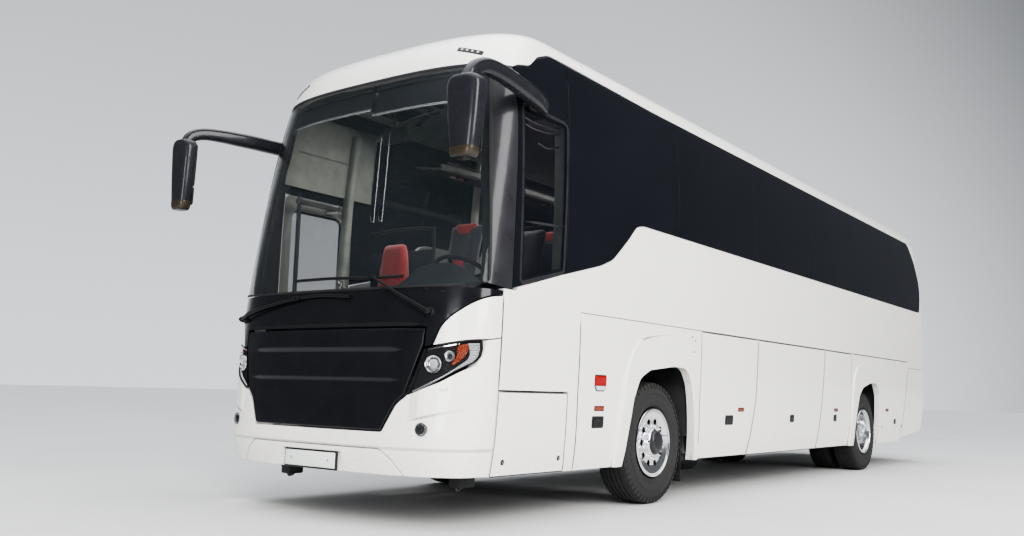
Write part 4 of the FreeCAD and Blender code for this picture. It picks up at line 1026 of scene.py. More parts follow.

# ------------------------------------------------------------------ number plate, towing hooks below
b = Build()
b.xadd(g_rbox((-0.272, 0.004 - YS, 0.352), (0.272, 0.016 - YS, 0.486), 0.006, 2), "black_plastic")
b.xadd(g_rbox((-0.256, -0.003 - YS, 0.366), (0.256, 0.006 - YS, 0.472), 0.003, 2), "plate_blank")
for sx in (-0.19, 0.19):
    b.xadd(g_lathe([(0.0, 0.007), (0.003, 0.0068), (0.0045, 0.004), (0.005, 0.0004)], (sx, -0.003 - YS, 0.419), (0, -1, 0), 16), "steel_grey")
o = b.done("front_plate")
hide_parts("number_plates")
b = Build()
for (x, y0, y1, z0, z1) in ((-0.560, 0.26, 0.40, 0.262, 0.352), (0.86, 0.56, 0.74, 0.248, 0.350), (-0.98, 0.60, 0.70, 0.27, 0.335)):
    b.xadd(g_rbox((x - 0.05, y0 - YS, z0), (x + 0.05, y1 - YS, z1), 0.012, 3), "black_plastic")
    b.xadd(g_tube([(x, y0 + 0.03 - YS, z0 + 0.07), (x, y0 + 0.03 - YS, z0 - 0.004), (x, y0 + 0.06 - YS, z0 - 0.012), (x, y0 + 0.09 - YS, z0 + 0.004), (x, y0 + 0.09 - YS, z0 + 0.07)], 0.009, 10), "cast_steel")
b.done("front_under_brackets")

# ------------------------------------------------------------------ mirrors
L_ARM = [(1232, 1000, 3034), (1300, 804, 3040), (1345, 558, 3052), (1385, 330, 3058), (1410, 133, 3052), (1421, 20, 3026), (1425, -62, 2972), (1426, -104, 2900)]
R_ARM = [(1232, 985, 2986), (1285, 690, 2965), (1310, 356, 2960), (1335, 200, 2958), (1362, 60, 2956), (1390, -90, 2942), (1408, -190, 2900), (1415, -236, 2820)]


def sup(a, b, n=20, p=2.6):
    out = []
    for k in range(n):
        t = 2 * math.pi * k / n
        c, s = math.cos(t), math.sin(t)
        out.append((a * math.copysign(abs(c) ** (2 / p), c), b * math.copysign(abs(s) ** (2 / p), s)))
    return out


def mirror_unit(arm, hx, hy, z0, z1, wx, wy, r0, r1):
    b = Build()
    pts = [L(*p) for p in arm]
    path = catmull(pts, 8)
    # rounded root end behind the first point
    d0 = (path[0] - path[1]).normalized()
    path = [path[0] + d0 * 0.030, path[0] + d0 * 0.026, path[0] + d0 * 0.016] + path
    n = len(path)

    def sec(i, t):
        k = (0.30, 0.66, 0.90)[i] if i < 3 else 1.0
        tt = max(0.0, t)
        h = (r0 + (r1 - r0) * tt) * (1.0 + 0.10 * math.sin(math.pi * min(1, tt * 1.4)))
        w = h * 0.80
        return sup(w * k, h * k, 22, 2.8)
    b.xadd(g_sweep(path, sec), "mirror_shell")
    # groove bands along the arm, above and below
    m = [p for i, p in enumerate(path) if 4 < i < n - 6]

    def groove(off_u, off_s, w):
        out = []
        for i, p in enumerate(m):
            a, c = m[max(0, i - 1)], m[min(len(m) - 1, i + 1)]
            d = (c - a).normalized()
            side = Vector((0, 0, 1)).cross(d).normalized()
            u = d.cross(side)
            t = (i + 5) / n
            h = (r0 + (r1 - r0) * t) * (1.0 + 0.10 * math.sin(math.pi * min(1, t * 1.4)))
            out.append(p + u * (h * off_u) + side * (h * 0.80 * off_s))
        return g_sweep(out, lambda i, t: ring(w, 8))
    b.xadd(groove(0.55, -0.93, 0.0035), "seam_black")
    b.xadd(groove(-0.58, -0.92, 0.0035), "seam_black")
    b.xadd(groove(0.55, 0.93, 0.0035), "seam_black")
    # boot on the body wall
    y0 = arm[0][1]
    b.xadd(g_patch(rect_poly(y0 - 190, y0 + 26, arm[0][2] - 62, arm[0][2] + 40, 36), map_side(1), h=14.0, depth=13.5, r=9.0, res=26.0), "black_plastic")
    # head: housing convex forwards, flat towards the rear
    vs, fs = [], []
    levels = [(0.0, 0.34), (0.006, 0.50), (0.02, 0.60), (0.05, 0.67), (0.11, 0.72), (0.3, 0.82), (0.5, 0.90), (0.7, 0.965), (0.84, 1.0), (0.90, 0.99), (0.945, 0.93), (0.975, 0.83), (0.992, 0.68), (1.0, 0.45)]
    m = 36
    for f, k in levels:
        z = z0 + f * (z1 - z0)
        a, d = wx * k / 2, wy * (0.55 + 0.45 * k) / 2
        if f in (0.0, 1.0):
            d *= 0.55
        for q in range(m):
            t = 2 * math.pi * q / m
            c, s = math.cos(t), math.sin(t)
            p = 4.0 if s > 0 else 3.4
            x = a * math.copysign(abs(c) ** (2 / p), c)
            y = d * (0.80 if s > 0 else 1.0) * math.copysign(abs(s) ** (2 / p), s)
            vs.append(L(hx + x, hy + y, z))
    for i in range(len(levels) - 1):
        for q in range(m):
            q2 = (q + 1) % m
            fs.append((i * m + q, i * m + q2, (i + 1) * m + q2, (i + 1) * m + q))
    fs.append(tuple(reversed(range(m))))
    fs.append(tuple((len(levels) - 1) * m + q for q in range(m)))
    b.add(vs, fs, "mirror_shell")
    # lower band in a warmer finish
    vs, fs = [], []
    lv = [(0.022, 0.615), (0.05, 0.678), (0.10, 0.722), (0.128, 0.735)]
    for f, k in lv:
        z = z0 + f * (z1 - z0)
        a, d = wx * k / 2 + 1.6, wy * (0.55 + 0.45 * k) / 2 + 1.6
        if f in (0.022, 0.128):
            a -= 1.5
            d -= 1.5
        for q in range(m):
            t = 2 * math.pi * q / m
            c, s = math.cos(t), math.sin(t)
            p = 4.0 if s > 0 else 3.4
            vs.append(L(hx + a * math.copysign(abs(c) ** (2 / p), c), hy + d * (0.80 if s > 0 else 1.0) * math.copysign(abs(s) ** (2 / p), s), z))
    for i in range(len(lv) - 1):
        for q in range(m):
            q2 = (q + 1) % m
            fs.append((i * m + q, i * m + q2, (i + 1) * m + q2, (i + 1) * m + q))
    b.add(vs, fs, "mirror_band")
    # panes on the rear side with their bezel
    yb = hy + wy * 0.40 - 1.0
    for (fa, fb) in ((0.36, 0.93), (0.10, 0.33)):
        za, zb = z0 + fa * (z1 - z0), z0 + fb * (z1 - z0)
        ka, kb = 0.30 * wx * (0.72 + 0.26 * fa) / 0.72, 0.30 * wx * (0.72 + 0.26 * fb) / 0.72

        def mpr(u, v, off):
            return L(hx + u, yb + off - 0.00022 * u * u - 0.00004 * (v - (za + zb) / 2) ** 2, v)
        poly = round_poly([(-ka, za, 18), (ka, za, 18), (kb, zb, 22), (-kb, zb, 22)])
        outer = round_poly([(-ka - 9, za - 9, 24), (ka + 9, za - 9, 24), (kb + 9, zb + 9, 28), (-kb - 9, zb + 9, 28)])
        b.xadd(g_patch(outer, mpr, h=2.5, depth=16.0, r=2.0, res=24.0), "black_plastic")
        b.xadd(g_patch(poly, mpr, h=4.0, depth=3.0, r=1.0, res=24.0), "chrome")
    return b


plastic("mirror_shell", (0.014, 0.014, 0.018), 0.26, 0.03, 300.0, 0.25, 0.12)
plastic("mirror_band", (0.026, 0.020, 0.013), 0.32, 0.03, 300.0, 0.2, 0.12)
ml = mirror_unit(L_ARM, 1420, -110, 2378, 2922, 262, 160, 0.063, 0.050)
mr = mirror_unit(R_ARM, 1404, -240, 2284, 2858, 220, 136, 0.057, 0.045)
o1 = ml.done("mirror_left", "coach_body", 50)
o2 = mr.mirror().done("mirror_right", "coach_body", 50)
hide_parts("mirrors")
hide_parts("mirrors")

# ------------------------------------------------------------------ wipers
def on_front(pts, off):
    return [map_front(u, v, off) for u, v in pts]


b = Build()
for arm, blade in (([(949, 1440), (720, 1560), (470, 1688)], [(-345, 1699), (-60, 1700), (180, 1696), (434, 1684), (600, 1686), (722, 1688)]),
                   ([(-1040, 1434), (-900, 1462), (-690, 1500), (-300, 1562)], [(-1130, 1446), (-900, 1492), (-649, 1520), (-289, 1566), (-17, 1576), (262, 1560)])):
    px, pz = arm[0]
    c = map_front(px, pz, 0.0)
    nr = front_normal(px, pz)
    b.xadd(g_lathe([(-0.004, 0.031), (0.004, 0.031), (0.008, 0.026), (0.030, 0.0225), (0.046, 0.021), (0.050, 0.016), (0.051, 0.0005)], c, nr, 28), "wiper_black")
    b.xadd(g_lathe([(0.049, 0.010), (0.057, 0.010), (0.059, 0.007), (0.0595, 0.0004)], c, nr, 6), "wiper_black")
    pts = on_front(arm, 42.0)
    path = catmull(pts, 8)
    b.xadd(g_sweep(path, lambda i, t: sup(0.0135 - 0.006 * t, 0.0085 - 0.002 * t, 12, 3.0), upv=tuple(nr)), "wiper_black")
    # hook and stiffening spring under the arm
    b.xadd(g_tube(on_front(arm[:2], 33.0), 0.0035, 8), "wiper_black")
    path = catmull(on_front(blade, 19.0), 8)
    b.xadd(g_sweep(path, lambda i, t: sup(0.0115, 0.009, 12, 2.4), upv=tuple(nr)), "wiper_black")
    path = catmull(on_front(blade, 6.0), 8)
    b.xadd(g_sweep(path, lambda i, t: [(-0.0035, 0.010), (-0.0032, -0.002), (-0.001, -0.0055), (0.001, -0.0055), (0.0032, -0.002), (0.0035, 0.010)], upv=tuple(nr)), "rubber")
    # bridge at the blade's middle
    e = arm[-1]
    cc = map_front(e[0], e[1], 26.0)
    fr = frame_to(front_normal(*e))
    b.xadd(g_rbox((-0.034, -0.016, -0.014), (0.034, 0.016, 0.018), 0.006, 2, Matrix.Translation(cc) @ fr), "wiper_black")
o = b.done("wiper_pair", "coach_body", 45)
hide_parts("wipers")
# spray nozzles and small covers on the cowl
b = Build()
for (u, v) in ((-420, 1602), (60, 1604), (560, 1606), (905, 1598), (1020, 1580)):
    b.xadd(g_patch(circle_poly(u, v, 17, 18, 9), map_front, h=6.0, depth=7.0, r=5.0, res=10.0), "wiper_black")
b.done("cowl_nozzles")
# beige-grey for the painted shade of the groove above the wheel trim
plastic("painted_groove_shade", (0.33, 0.31, 0.275), 0.5, 0.1)
plastic("blind_cloth", (0.020, 0.020, 0.024), 0.85, 0.5, 900.0)

# ------------------------------------------------------------------ side details
def unit(s):
    return "left" if s > 0 else "right"


LATCH = {1: [(1836, 706, 88, 47), (4305, 704, 96, 48), (6012, 709, 66, 42), (7491, 706, 60, 42), (10180, 640, 56, 38)],
         -1: [(4305, 704, 96, 48), (6300, 706, 66, 42), (10180, 640, 56, 38)]}
LATCH_BODY = {(1, 4305): "left_luggage_flap_1", (1, 6012): "left_luggage_flap_2", (1, 7491): "left_luggage_flap_3", (-1, 4305): "right_luggage_flap_1", (-1, 6300): "right_luggage_flap_2"}
AMBER = {1: [1844, 4582, 7514, 9758], -1: [1844, 4582, 6900, 9758]}
for s in (1, -1):
    mp = map_side(s)
    for (cy, cz, hy, hz) in LATCH[s]:
        b = Build()
        b.xadd(g_patch(rect_poly(cy - hy, cy + hy, cz - hz, cz + hz, 16), mp, h=2.2, depth=5.0, r=2.0, res=22.0), "wiper_black")
        b.xadd(g_patch(rect_poly(cy - hy * 0.74, cy + hy * 0.74, cz - hz * 0.70, cz + hz * 0.62, 12), mp, h=5.5, depth=4.5, r=3.0, res=20.0,
                       detail=lambda u, v, c=cz, h=hz: -3.0 * max(0.0, (c - v) / h)), "wiper_black")
        b.xadd(g_patch(circle_poly(cy, cz + hz * 0.30, 9, 16), mp, h=7.0, depth=3.0, r=1.4, res=6.0), "black_satin")
        b.xadd(g_strip([(cy - hy * 0.6, cz - hz * 0.55), (cy, cz - hz * 0.60), (cy + hy * 0.6, cz - hz * 0.55)], 3.0, 2.0, 2.0, mp), "seam_black")
        b.done("latch_%s_%d" % (unit(s), cy), LATCH_BODY.get((s, cy), "coach_body"))
    for cy in AMBER[s]:
        b = Build()
        cz = 812 if cy < 3000 else 806
        if s > 0 and cy == 4582:
            body = "left_luggage_flap_1"
        elif s > 0 and cy == 7514:
            body = "left_luggage_flap_3"
        elif s < 0 and cy == 4582:
            body = "right_luggage_flap_1"
        elif s < 0 and cy == 6900:
            body = "right_luggage_flap_2"
        else:
            body = "coach_body"
        b.xadd(g_patch(rect_poly(cy - 74, cy + 74, cz - 21, cz + 21, 9), mp, h=2.0, depth=4.0, r=1.5, res=20.0), "black_plastic")
        b.xadd(g_patch(rect_poly(cy - 66, cy + 66, cz - 15, cz + 15, 7), mp, h=7.0, depth=6.0, r=3.5, res=9.0,
                       detail=lambda u, v: 0.8 * abs(((u / 11.0) % 1.0) - 0.5)), "lens_amber")
        b.done("side_lamp_%s_%d" % (unit(s), cy), body)
    # shield lamp
    b = Build()
    sh = [(1762, 1070, 16), (1925, 1070, 16), (1925, 985, 26), (1895, 951, 20), (1792, 951, 20), (1762, 985, 26)]
    b.xadd(g_patch(round_poly([(p[0] + (7 if p[0] > 1843 else -7), p[1] + (6 if p[1] > 1010 else -6), p[2]) for p in sh]), mp, h=2.0, depth=4.0, r=1.6, res=24.0), "black_plastic")
    up = round_poly([(1764, 1068, 14), (1923, 1068, 14), (1923, 990, 4), (1764, 990, 4)])
    lo = round_poly([(1766, 988, 3), (1921, 988, 3), (1893, 953, 16), (1794, 953, 16)])
    b.xadd(g_patch(up, mp, h=11.0, depth=10.0, r=6.0, res=12.0, detail=lambda u, v: 0.7 * abs(((v / 12.0) % 1.0) - 0.5)), "lens_red")
    b.xadd(g_patch(lo, mp, h=10.0, depth=9.0, r=5.0, res=12.0), "lens_white")
    b.done("shield_lamp_" + unit(s))
    # small round caps with steel centres low on the rear quarter
    b = Build()
    for (cy, cz, r) in ((9554, 567, 17), (10542, 569, 17)):
        b.xadd(g_patch(circle_poly(cy, cz, r, 24), mp, h=3.0, depth=4.0, r=2.0, res=9.0), "black_plastic")
        b.xadd(g_patch(circle_poly(cy, cz, r * 0.45, 14), mp, h=4.4, depth=2.0, r=1.0, res=6.0), "steel_grey")
    b.done("quarter_caps_" + unit(s))
    # painted shade of the groove over the front wheel trim, laid as a raised beige-grey strip, and fine marks beside it
    b = Build()
    line = smooth_line([(2500, 1386), (2640, 1414), (2823, 1434), (3040, 1450), (3230, 1446), (3355, 1402), (3428, 1322)], 6)
    b.xadd(g_strip(line, 15.0, -0.5, 2.2, mp), "painted_groove_shade")
    for (u, v) in ((3435, 1472), (3502, 1440), (3478, 1335)):
        b.xadd(g_patch(circle_poly(u, v, 13, 16, 8), mp, h=1.6, depth=2.0, r=1.0, res=8.0), "black_plastic")
    b.done("arch_groove_shade_" + unit(s))

# ------------------------------------------------------------------ hatch screws, window rubbers, driver's window
b = Build()
for (cy, cz) in ((651, 443), (1333, 447)):
    b.xadd(g_patch(circle_poly(cy, cz, 20, 24), map_side(1), h=2.5, depth=3.0, r=1.5, res=8.0), "black_plastic")
    b.xadd(g_patch(circle_poly(cy, cz, 7, 6), map_side(1), h=4.0, depth=2.0, r=1.0, res=5.0), "steel_grey")
b.done("hatch_screws", "service_hatch")

for s in (1, -1):
    mp = map_side(s)
    b = Build()
    ys = [1290.0, 3130.0, 4905.0, 6600.0, 8345.0, 10150.0]
    for k, y0 in enumerate(ys):
        if s < 0 and k == 0:
            continue
        pts = []
        for i in range(13):
            z = 2385 + (3470 - 2385) * i / 12
            if k == 0:
                z = 1835 + (3460 - 1835) * i / 12
            sl = 100.0 * (z - 1500) / 2100.0
            pts.append((y0 + sl, z))
        b.xadd(g_strip(pts, 5.0, -6.0, 4.5, mp), "rubber")
    b.done("pane_rubbers_" + unit(s))
# thin rubber all along the lower edge of the dark band
for s in (1, -1):
    if s > 0:
        low = [(706, 1650), (1235, 1800), (1800, 1940), (1990, 2016), (2235, 2216), (2380, 2340), (2500, 2368), (4000, 2368), (6000, 2368), (8000, 2368), (10000, 2368), (11560, 2368)]
    else:
        low = [(1500, 1866), (1800, 1940), (1990, 2016), (2235, 2216), (2380, 2340), (2500, 2368), (4000, 2368), (6000, 2368), (7150, 2368)]
    line = []
    for i in range(len(low) - 1):
        a, c = low[i], low[i + 1]
        n = max(1, int((c[0] - a[0]) / 120))
        line += [(a[0] + (c[0] - a[0]) * k / n, a[1] + (c[1] - a[1]) * k / n) for k in range(n)]
    line.append(low[-1])
    link("band_rubber_" + unit(s), *g_strip(line, 3.5, -4.0, 3.5, map_side(s)), "rubber")

# frame of the driver's window
outer = densify(round_poly([(716, 1668, 50), (1286, 1812, 50), (1345, 2990, 70), (734, 3018, 70)]), 30.0)
if area2(outer) < 0:
    outer = outer[::-1]
b = Build()
n = len(outer)
inn = inset(outer, 24.0)
vs, fs = [], []
for (u, v), (ui, vi) in zip(outer, inn):
    for w, off in ((0.0, 0.3), (0.08, 2.0), (0.5, 2.6), (0.92, 2.0), (1.0, -1.0)):
        vs.append(map_side(1)(u + (ui - u) * w, v + (vi - v) * w, off))
for k in range(n):
    k2 = (k + 1) % n
    for j in range(4):
        fs.append((k * 5 + j, k2 * 5 + j, k2 * 5 + j + 1, k * 5 + j + 1))
b.add(vs, fs, "black_satin")
# sliding pane divider
b.xadd(g_strip([(745, 2130), (900, 2142), (1100, 2156), (1275, 2168)], 9.0, -4.0, 6.0, map_side(1)), "black_satin")
b.done("driver_window_frame")

# ------------------------------------------------------------------ dark strips along the panel gaps, widened by painted shadow
def seam_y(low, mid, high):
    def f(z):
        if z < 900:
            return low + (mid - low) * (z - 360) / 540.0
        return mid + (high - mid) * (z - 900) / 635.0
    return f


SA, SB, SC = seam_y(1548, 1524, 1524), seam_y(3655, 3616, 3626), seam_y(4805, 4950, 4990)
SD, SE, SF = seam_y(6880, 6985, 7075), seam_y(8072, 8110, 8110), seam_y(10500, 10700, 10890)
SRM = seam_y(5200, 5330, 5400)
FRONT_SEAM = seam_y(526.0, 533.0, 541.3)


def gap_shadow_line(poly, name, body, s, half=3.6):
    """a dark strip along a panel's own rim, just inside it: painted shadow of the gap"""
    p = densify(poly, 70.0)
    if area2(p) < 0:
        p = p[::-1]
    p = inset(p, half + 0.4)
    link(name, *g_strip(p + [p[0]], half, 0.3, 1.0, map_side(s), taper_ends=False), "seam_black", body)


def seam_panel(f0, f1, z0, z1):
    g = 5.0
    return [(f0(z0) + g, z0), (f1(z0) - g, z0), (f1(900) - g, 900), (f1(z1) - g, z1), (f0(z1) + g, z1), (f0(900) + g, 900)]


MD_FRONT = lambda z: 7176.0
for nm, s, f0, f1 in (("left_luggage_flap_1", 1, SB, SC), ("left_luggage_flap_2", 1, SC, SD), ("left_luggage_flap_3", 1, SD, SE), ("right_luggage_flap_1", -1, SB, SRM), ("right_luggage_flap_2", -1, SRM, MD_FRONT)):
    gap_shadow_line(seam_panel(f0, f1, 345, 1535), nm + "_seal", nm, s)
gap_shadow_line([(FRONT_SEAM(345) + 4, 345), (1417, 345), (1418, 364), (1398, 508), (1386, 925), (FRONT_SEAM(925) + 4, 925)], "service_hatch_seal", "service_hatch", 1)
for nm, y0, y1, z1 in (("front_door", 640, 1440, 2560), ("middle_door", 7190, 7990, 2340)):
    gap_shadow_line(round_poly([(y0, 352, 20), (y1, 352, 20), (y1, z1, 60), (y0, z1, 60)]), nm + "_seal", nm, -1)
# fixed joints: a dark strip laid just on the skin along the gap, wider than the gap: painted shadow of the joint
for s in (1, -1):
    b = Build()
    low_l = 1543.0
    runs = [[(SF(z), z) for z in range(420, 1445, 60)], [(y, 1540.0) for y in range(8120, 10890, 120)]]
    if s > 0:
        runs.append([(FRONT_SEAM(z), z) for z in range(940, 1612, 48)])
        runs.append([(SA(z), z) for z in range(345, 1536, 60)])
    else:
        runs.append([(MD_FRONT(0) + 828.0, z) for z in range(345, 1536, 60)])
        runs.append([(y, 1540.0) for y in range(1460, 3640, 120)])
    for r in runs:
        b.xadd(g_strip(r, 6.0, 0.2, 1.0, map_side(s)), "seam_black")
    b.done("panel_joint_shadow_" + unit(s))

# ------------------------------------------------------------------ tyres and wheel details
TR, RR = 0.522, 0.286


def tyre_mesh(x_in, x_out, yc, seed=0):
    """closed tyre shell with ribs, shoulder blocks and ringed side walls; local mm in, metres out"""
    w = (x_out - x_in) / 1000.0
    x0 = x_in / 1000.0
    half = [(0.085, RR + 0.003), (0.050, RR + 0.010), (0.022, RR + 0.020), (0.008, RR + 0.036), (0.004, RR + 0.050), (0.0065, RR + 0.054), (0.0035, RR + 0.058), (0.000, RR + 0.085),
            (-0.001, RR + 0.110), (0.0008, RR + 0.128), (0.0045, RR + 0.131), (0.0015, RR + 0.135), (0.005, RR + 0.160), (0.012, RR + 0.185), (0.018, RR + 0.197), (0.016, RR + 0.201), (0.022, RR + 0.214), (0.030, TR - 0.012), (0.040, TR - 0.006)]
    ribs = []
    gpos = [0.285, 0.43, 0.57, 0.715]
    x = 0.040
    prof = list(half)
    for g in gpos:
        c = g * w
        prof += [(c - 0.0065, TR - 0.0012 - 0.006 * (abs(g - 0.5) / 0.35) ** 2), (c - 0.0048, TR - 0.013), (c + 0.0048, TR - 0.013), (c + 0.0065, TR - 0.0012 - 0.006 * (abs(g - 0.5) / 0.35) ** 2)]
    prof += [(w - a, r) for a, r in reversed(half)]
    n = 120
    vs, fs = [], []
    zc, yy = 0.522, yc / 1000.0 - YS
    for a, r in prof:
        tread = r > TR - 0.0075 and 0.035 < a < w - 0.035
        for k in range(n):
            t = 2 * math.pi * k / n
            rr = r
            if tread and k % 4 == 0:
                rr = r - 0.005
            vs.append(Vector((x0 + a, yy + rr * math.sin(t), zc + rr * math.cos(t))))
    m = len(prof)
    for i in range(m - 1):
        for k in range(n):
            k2 = (k + 1) % n
            fs.append((i * n + k, (i + 1) * n + k, (i + 1) * n + k2, i * n + k2))
    # inner band closing the shell
    for k in range(n):
        k2 = (k + 1) % n
        fs.append(((m - 1) * n + k, k, k2, (m - 1) * n + k2))
    # shoulder blocks
    nb = 54
    for side in (0, 1):
        for k in range(nb):
            t = 2 * math.pi * (k + 0.5 * side) / nb
            dt = 2 * math.pi / nb * 0.30
            base = len(vs)
            for tt in (t - dt, t + dt):
                for (a, r) in ((0.0120, TR - 0.046), (0.0060, TR - 0.050), (0.0175, TR - 0.0125), (0.052, TR - 0.0030), (0.052, TR - 0.010)):
                    aa = a if side == 0 else w - a
                    vs.append(Vector((x0 + aa, yy + r * math.sin(tt), zc + r * math.cos(tt))))
            loop = [0, 1, 2, 3, 4]
            A = [base + q for q in loop]
            B = [base + 5 + q for q in loop]
            for q in range(5):
                q2 = (q + 1) % 5
                f = (A[q], A[q2], B[q2], B[q])
                fs.append(f if side else tuple(reversed(f)))
            fs.append(tuple(reversed(A)) if side else tuple(A))
            fs.append(tuple(B) if side else tuple(reversed(B)))
    return vs, fs


def nuts(x, yc, sgn, n, rb, size, b, phase=0.0):
    zc, yy = 0.522, yc / 1000.0 - YS
    for k in range(n):
        t = 2 * math.pi * k / n + phase
        c = (x, yy + rb * math.sin(t), zc + rb * math.cos(t))
        b.xadd(g_lathe([(-0.004, size * 1.45), (0.004, size * 1.45), (0.006, size * 1.25)], c, (sgn, 0, 0), 18), "chrome")
        b.xadd(g_lathe([(0.004, size), (0.026, size), (0.030, size * 0.82), (0.031, size * 0.5), (0.038, size * 0.46), (0.040, size * 0.30), (0.0402, 0.0005)], c, (sgn, 0, 0), 12), "chrome")


W = 292.0
XO = 1208.0
for s, nm in ((1, "left"), (-1, "right")):
    # front
    a, c = XO - W, XO
    vs, fs = tyre_mesh(a, c, 2823.0)
    if s < 0:
        vs = [Vector((-v.x, v.y, v.z)) for v in vs]
        fs = [tuple(reversed(f)) for f in fs]
    o = link("front_%s_tyre_tread" % nm, vs, fs, "tyre_rubber", "front_%s_wheel" % nm, 32)
    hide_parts("front_%s_tyre" % nm)
    yy = 2.823 - YS
    d = (a + 0.86 * W + 14) / 1000.0
    b = Build()
    nuts(s * d, 2823.0, s, 10, 0.1395, 0.0135, b)
    # hub cap: chrome ring and dark domed centre
    b.xadd(g_lathe([(-0.004, 0.122), (0.010, 0.1235), (0.024, 0.120), (0.032, 0.114), (0.036, 0.107), (0.034, 0.100)], (s * d, yy, 0.522), (s, 0, 0), 64), "chrome")
    b.xadd(g_lathe([(0.028, 0.106), (0.044, 0.104), (0.056, 0.097), (0.064, 0.087), (0.068, 0.074), (0.0685, 0.0005)], (s * d, yy, 0.522), (s, 0, 0), 64), "black_satin")
    b.xadd(g_lathe([(0.066, 0.060), (0.0705, 0.058), (0.072, 0.046), (0.0724, 0.0005)], (s * d, yy, 0.522), (s, 0, 0), 48), "black_plastic")
    # valve
    b.xadd(g_tube([(s * (d - 0.03), yy + 0.20, 0.522 + 0.05), (s * (d + 0.02), yy + 0.212, 0.522 + 0.054), (s * (d + 0.05), yy + 0.206, 0.522 + 0.052)], 0.0045, 8), "steel_grey")
    # bright rim lip
    b.xadd(g_lathe([(-0.004, RR + 0.004), (0.002, RR + 0.009), (0.007, RR + 0.006), (0.008, RR - 0.002), (0.003, RR - 0.006), (-0.004, RR - 0.004)], (s * (c - 12) / 1000.0, yy, 0.522), (s, 0, 0), 96, closed=True), "polished_aluminium")
    b.done("front_%s_wheel_trim" % nm, "front_%s_wheel" % nm)
    # rear pair
    gap = 46.0
    outs = [(XO - W, XO), (XO - 2 * W - gap, XO - W - gap)]
    for j, (a, c) in enumerate(outs):
        vs, fs = tyre_mesh(a, c, 8773.0)
        if s < 0:
            vs = [Vector((-v.x, v.y, v.z)) for v in vs]
            fs = [tuple(reversed(f)) for f in fs]
        o = link("rear_%s_tyre_tread_%d" % (nm, j + 1), vs, fs, "tyre_rubber", "rear_%s_wheels" % nm, 32)
        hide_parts("rear_%s_tyres" % nm)
    a, c = outs[0]
    yy = 8.773 - YS
    d = (a + 0.20 * W + 14) / 1000.0
    b = Build()
    nuts(s * d, 8773.0, s, 10, 0.1395, 0.0135, b)
    b.xadd(g_lathe([(-0.010, 0.108), (0.050, 0.108), (0.062, 0.102), (0.070, 0.090), (0.098, 0.086), (0.108, 0.078), (0.112, 0.060), (0.113, 0.0005)], (s * d, yy, 0.522), (s, 0, 0), 56), "chrome")
    b.xadd(g_lathe([(0.108, 0.050), (0.118, 0.048), (0.121, 0.038), (0.122, 0.0005)], (s * d, yy, 0.522), (s, 0, 0), 40), "black_gloss")
    for k in range(8):
        t = 2 * math.pi * k / 8
        b.xadd(g_lathe([(0.060, 0.006), (0.072, 0.006), (0.075, 0.004), (0.0755, 0.0003)], (s * d, yy + 0.097 * math.sin(t), 0.522 + 0.097 * math.cos(t)), (s, 0, 0), 6), "steel_grey")
    b.xadd(g_lathe([(-0.004, RR + 0.004), (0.002, RR + 0.009), (0.007, RR + 0.006), (0.008, RR - 0.002), (0.003, RR - 0.006), (-0.004, RR - 0.004)], (s * (c - 12) / 1000.0, yy, 0.522), (s, 0, 0), 96, closed=True), "polished_aluminium")
    b.done("rear_%s_wheel_trim" % nm, "rear_%s_wheels" % nm)

# ------------------------------------------------------------------ cushions, swollen with cloth pressure
def slab(profile, width, r, seg=3, shrink=0.0):
    """closed cushion block: side outline (y, z) in metres, given width, rounded"""
    bm = bmesh.new()
    n = len(profile)
    a = [bm.verts.new((-width / 2 + shrink, y, z)) for y, z in profile]
    c = [bm.verts.new((width / 2 - shrink, y, z)) for y, z in profile]
    bm.faces.new(a[::-1])
    bm.faces.new(c)
    for k in range(n):
        k2 = (k + 1) % n
        bm.faces.new((a[k], a[k2], c[k2], c[k]))
    bmesh.ops.recalc_face_normals(bm, faces=bm.faces)
    bmesh.ops.bevel(bm, geom=list(bm.edges), offset=r, segments=seg, profile=0.5, affect="EDGES", clamp_overlap=True)
    me = bpy.data.meshes.new("slab")
    bm.to_mesh(me)
    bm.free()
    return me


def puff(me, voxel, pressure=3.0, frames=14, cap=0.016):
    o = bpy.data.objects.new("puff", me)
    scene.collection.objects.link(o)
    md = o.modifiers.new("r", "REMESH")
    md.mode = "VOXEL"
    md.voxel_size = voxel
    dg = bpy.context.evaluated_depsgraph_get()
    base = bpy.data.meshes.new_from_object(o.evaluated_get(dg))
    o.modifiers.clear()
    o.data = base
    n = len(base.vertices)
    co0 = np.zeros(n * 3)
    base.vertices.foreach_get("co", co0)
    co0 = co0.reshape(-1, 3)
    co1 = co0.copy()
    cm = o.modifiers.new("c", "CLOTH")
    st = cm.settings
    st.quality = 4
    st.mass = 0.25
    st.tension_stiffness = 12
    st.compression_stiffness = 12
    st.bending_stiffness = 1.2
    st.use_pressure = True
    st.uniform_pressure_force = pressure
    st.effector_weights.gravity = 0.0
    cm.collision_settings.use_collision = False
    cm.collision_settings.use_self_collision = False
    for f in range(1, frames + 1):
        scene.frame_set(f)
    dg = bpy.context.evaluated_depsgraph_get()
    ev = o.evaluated_get(dg)
    m2 = ev.to_mesh()
    if len(m2.vertices) == n:
        m2.vertices.foreach_get("co", co1.reshape(-1))
        q = np.zeros(n * 3)
        m2.vertices.foreach_get("co", q)
        co1 = q.reshape(-1, 3)
    ev.to_mesh_clear()
    o.modifiers.clear()
    scene.frame_set(1)
    d = co1 - co0
    ln = np.sqrt((d ** 2).sum(1))
    k = np.where(ln > cap, cap / np.maximum(ln, 1e-9), 1.0)
    co1 = co0 + d * k[:, None]
    fs = [tuple(p.vertices) for p in base.polygons]
    bpy.data.objects.remove(o)
    return [Vector(c) for c in co1], fs


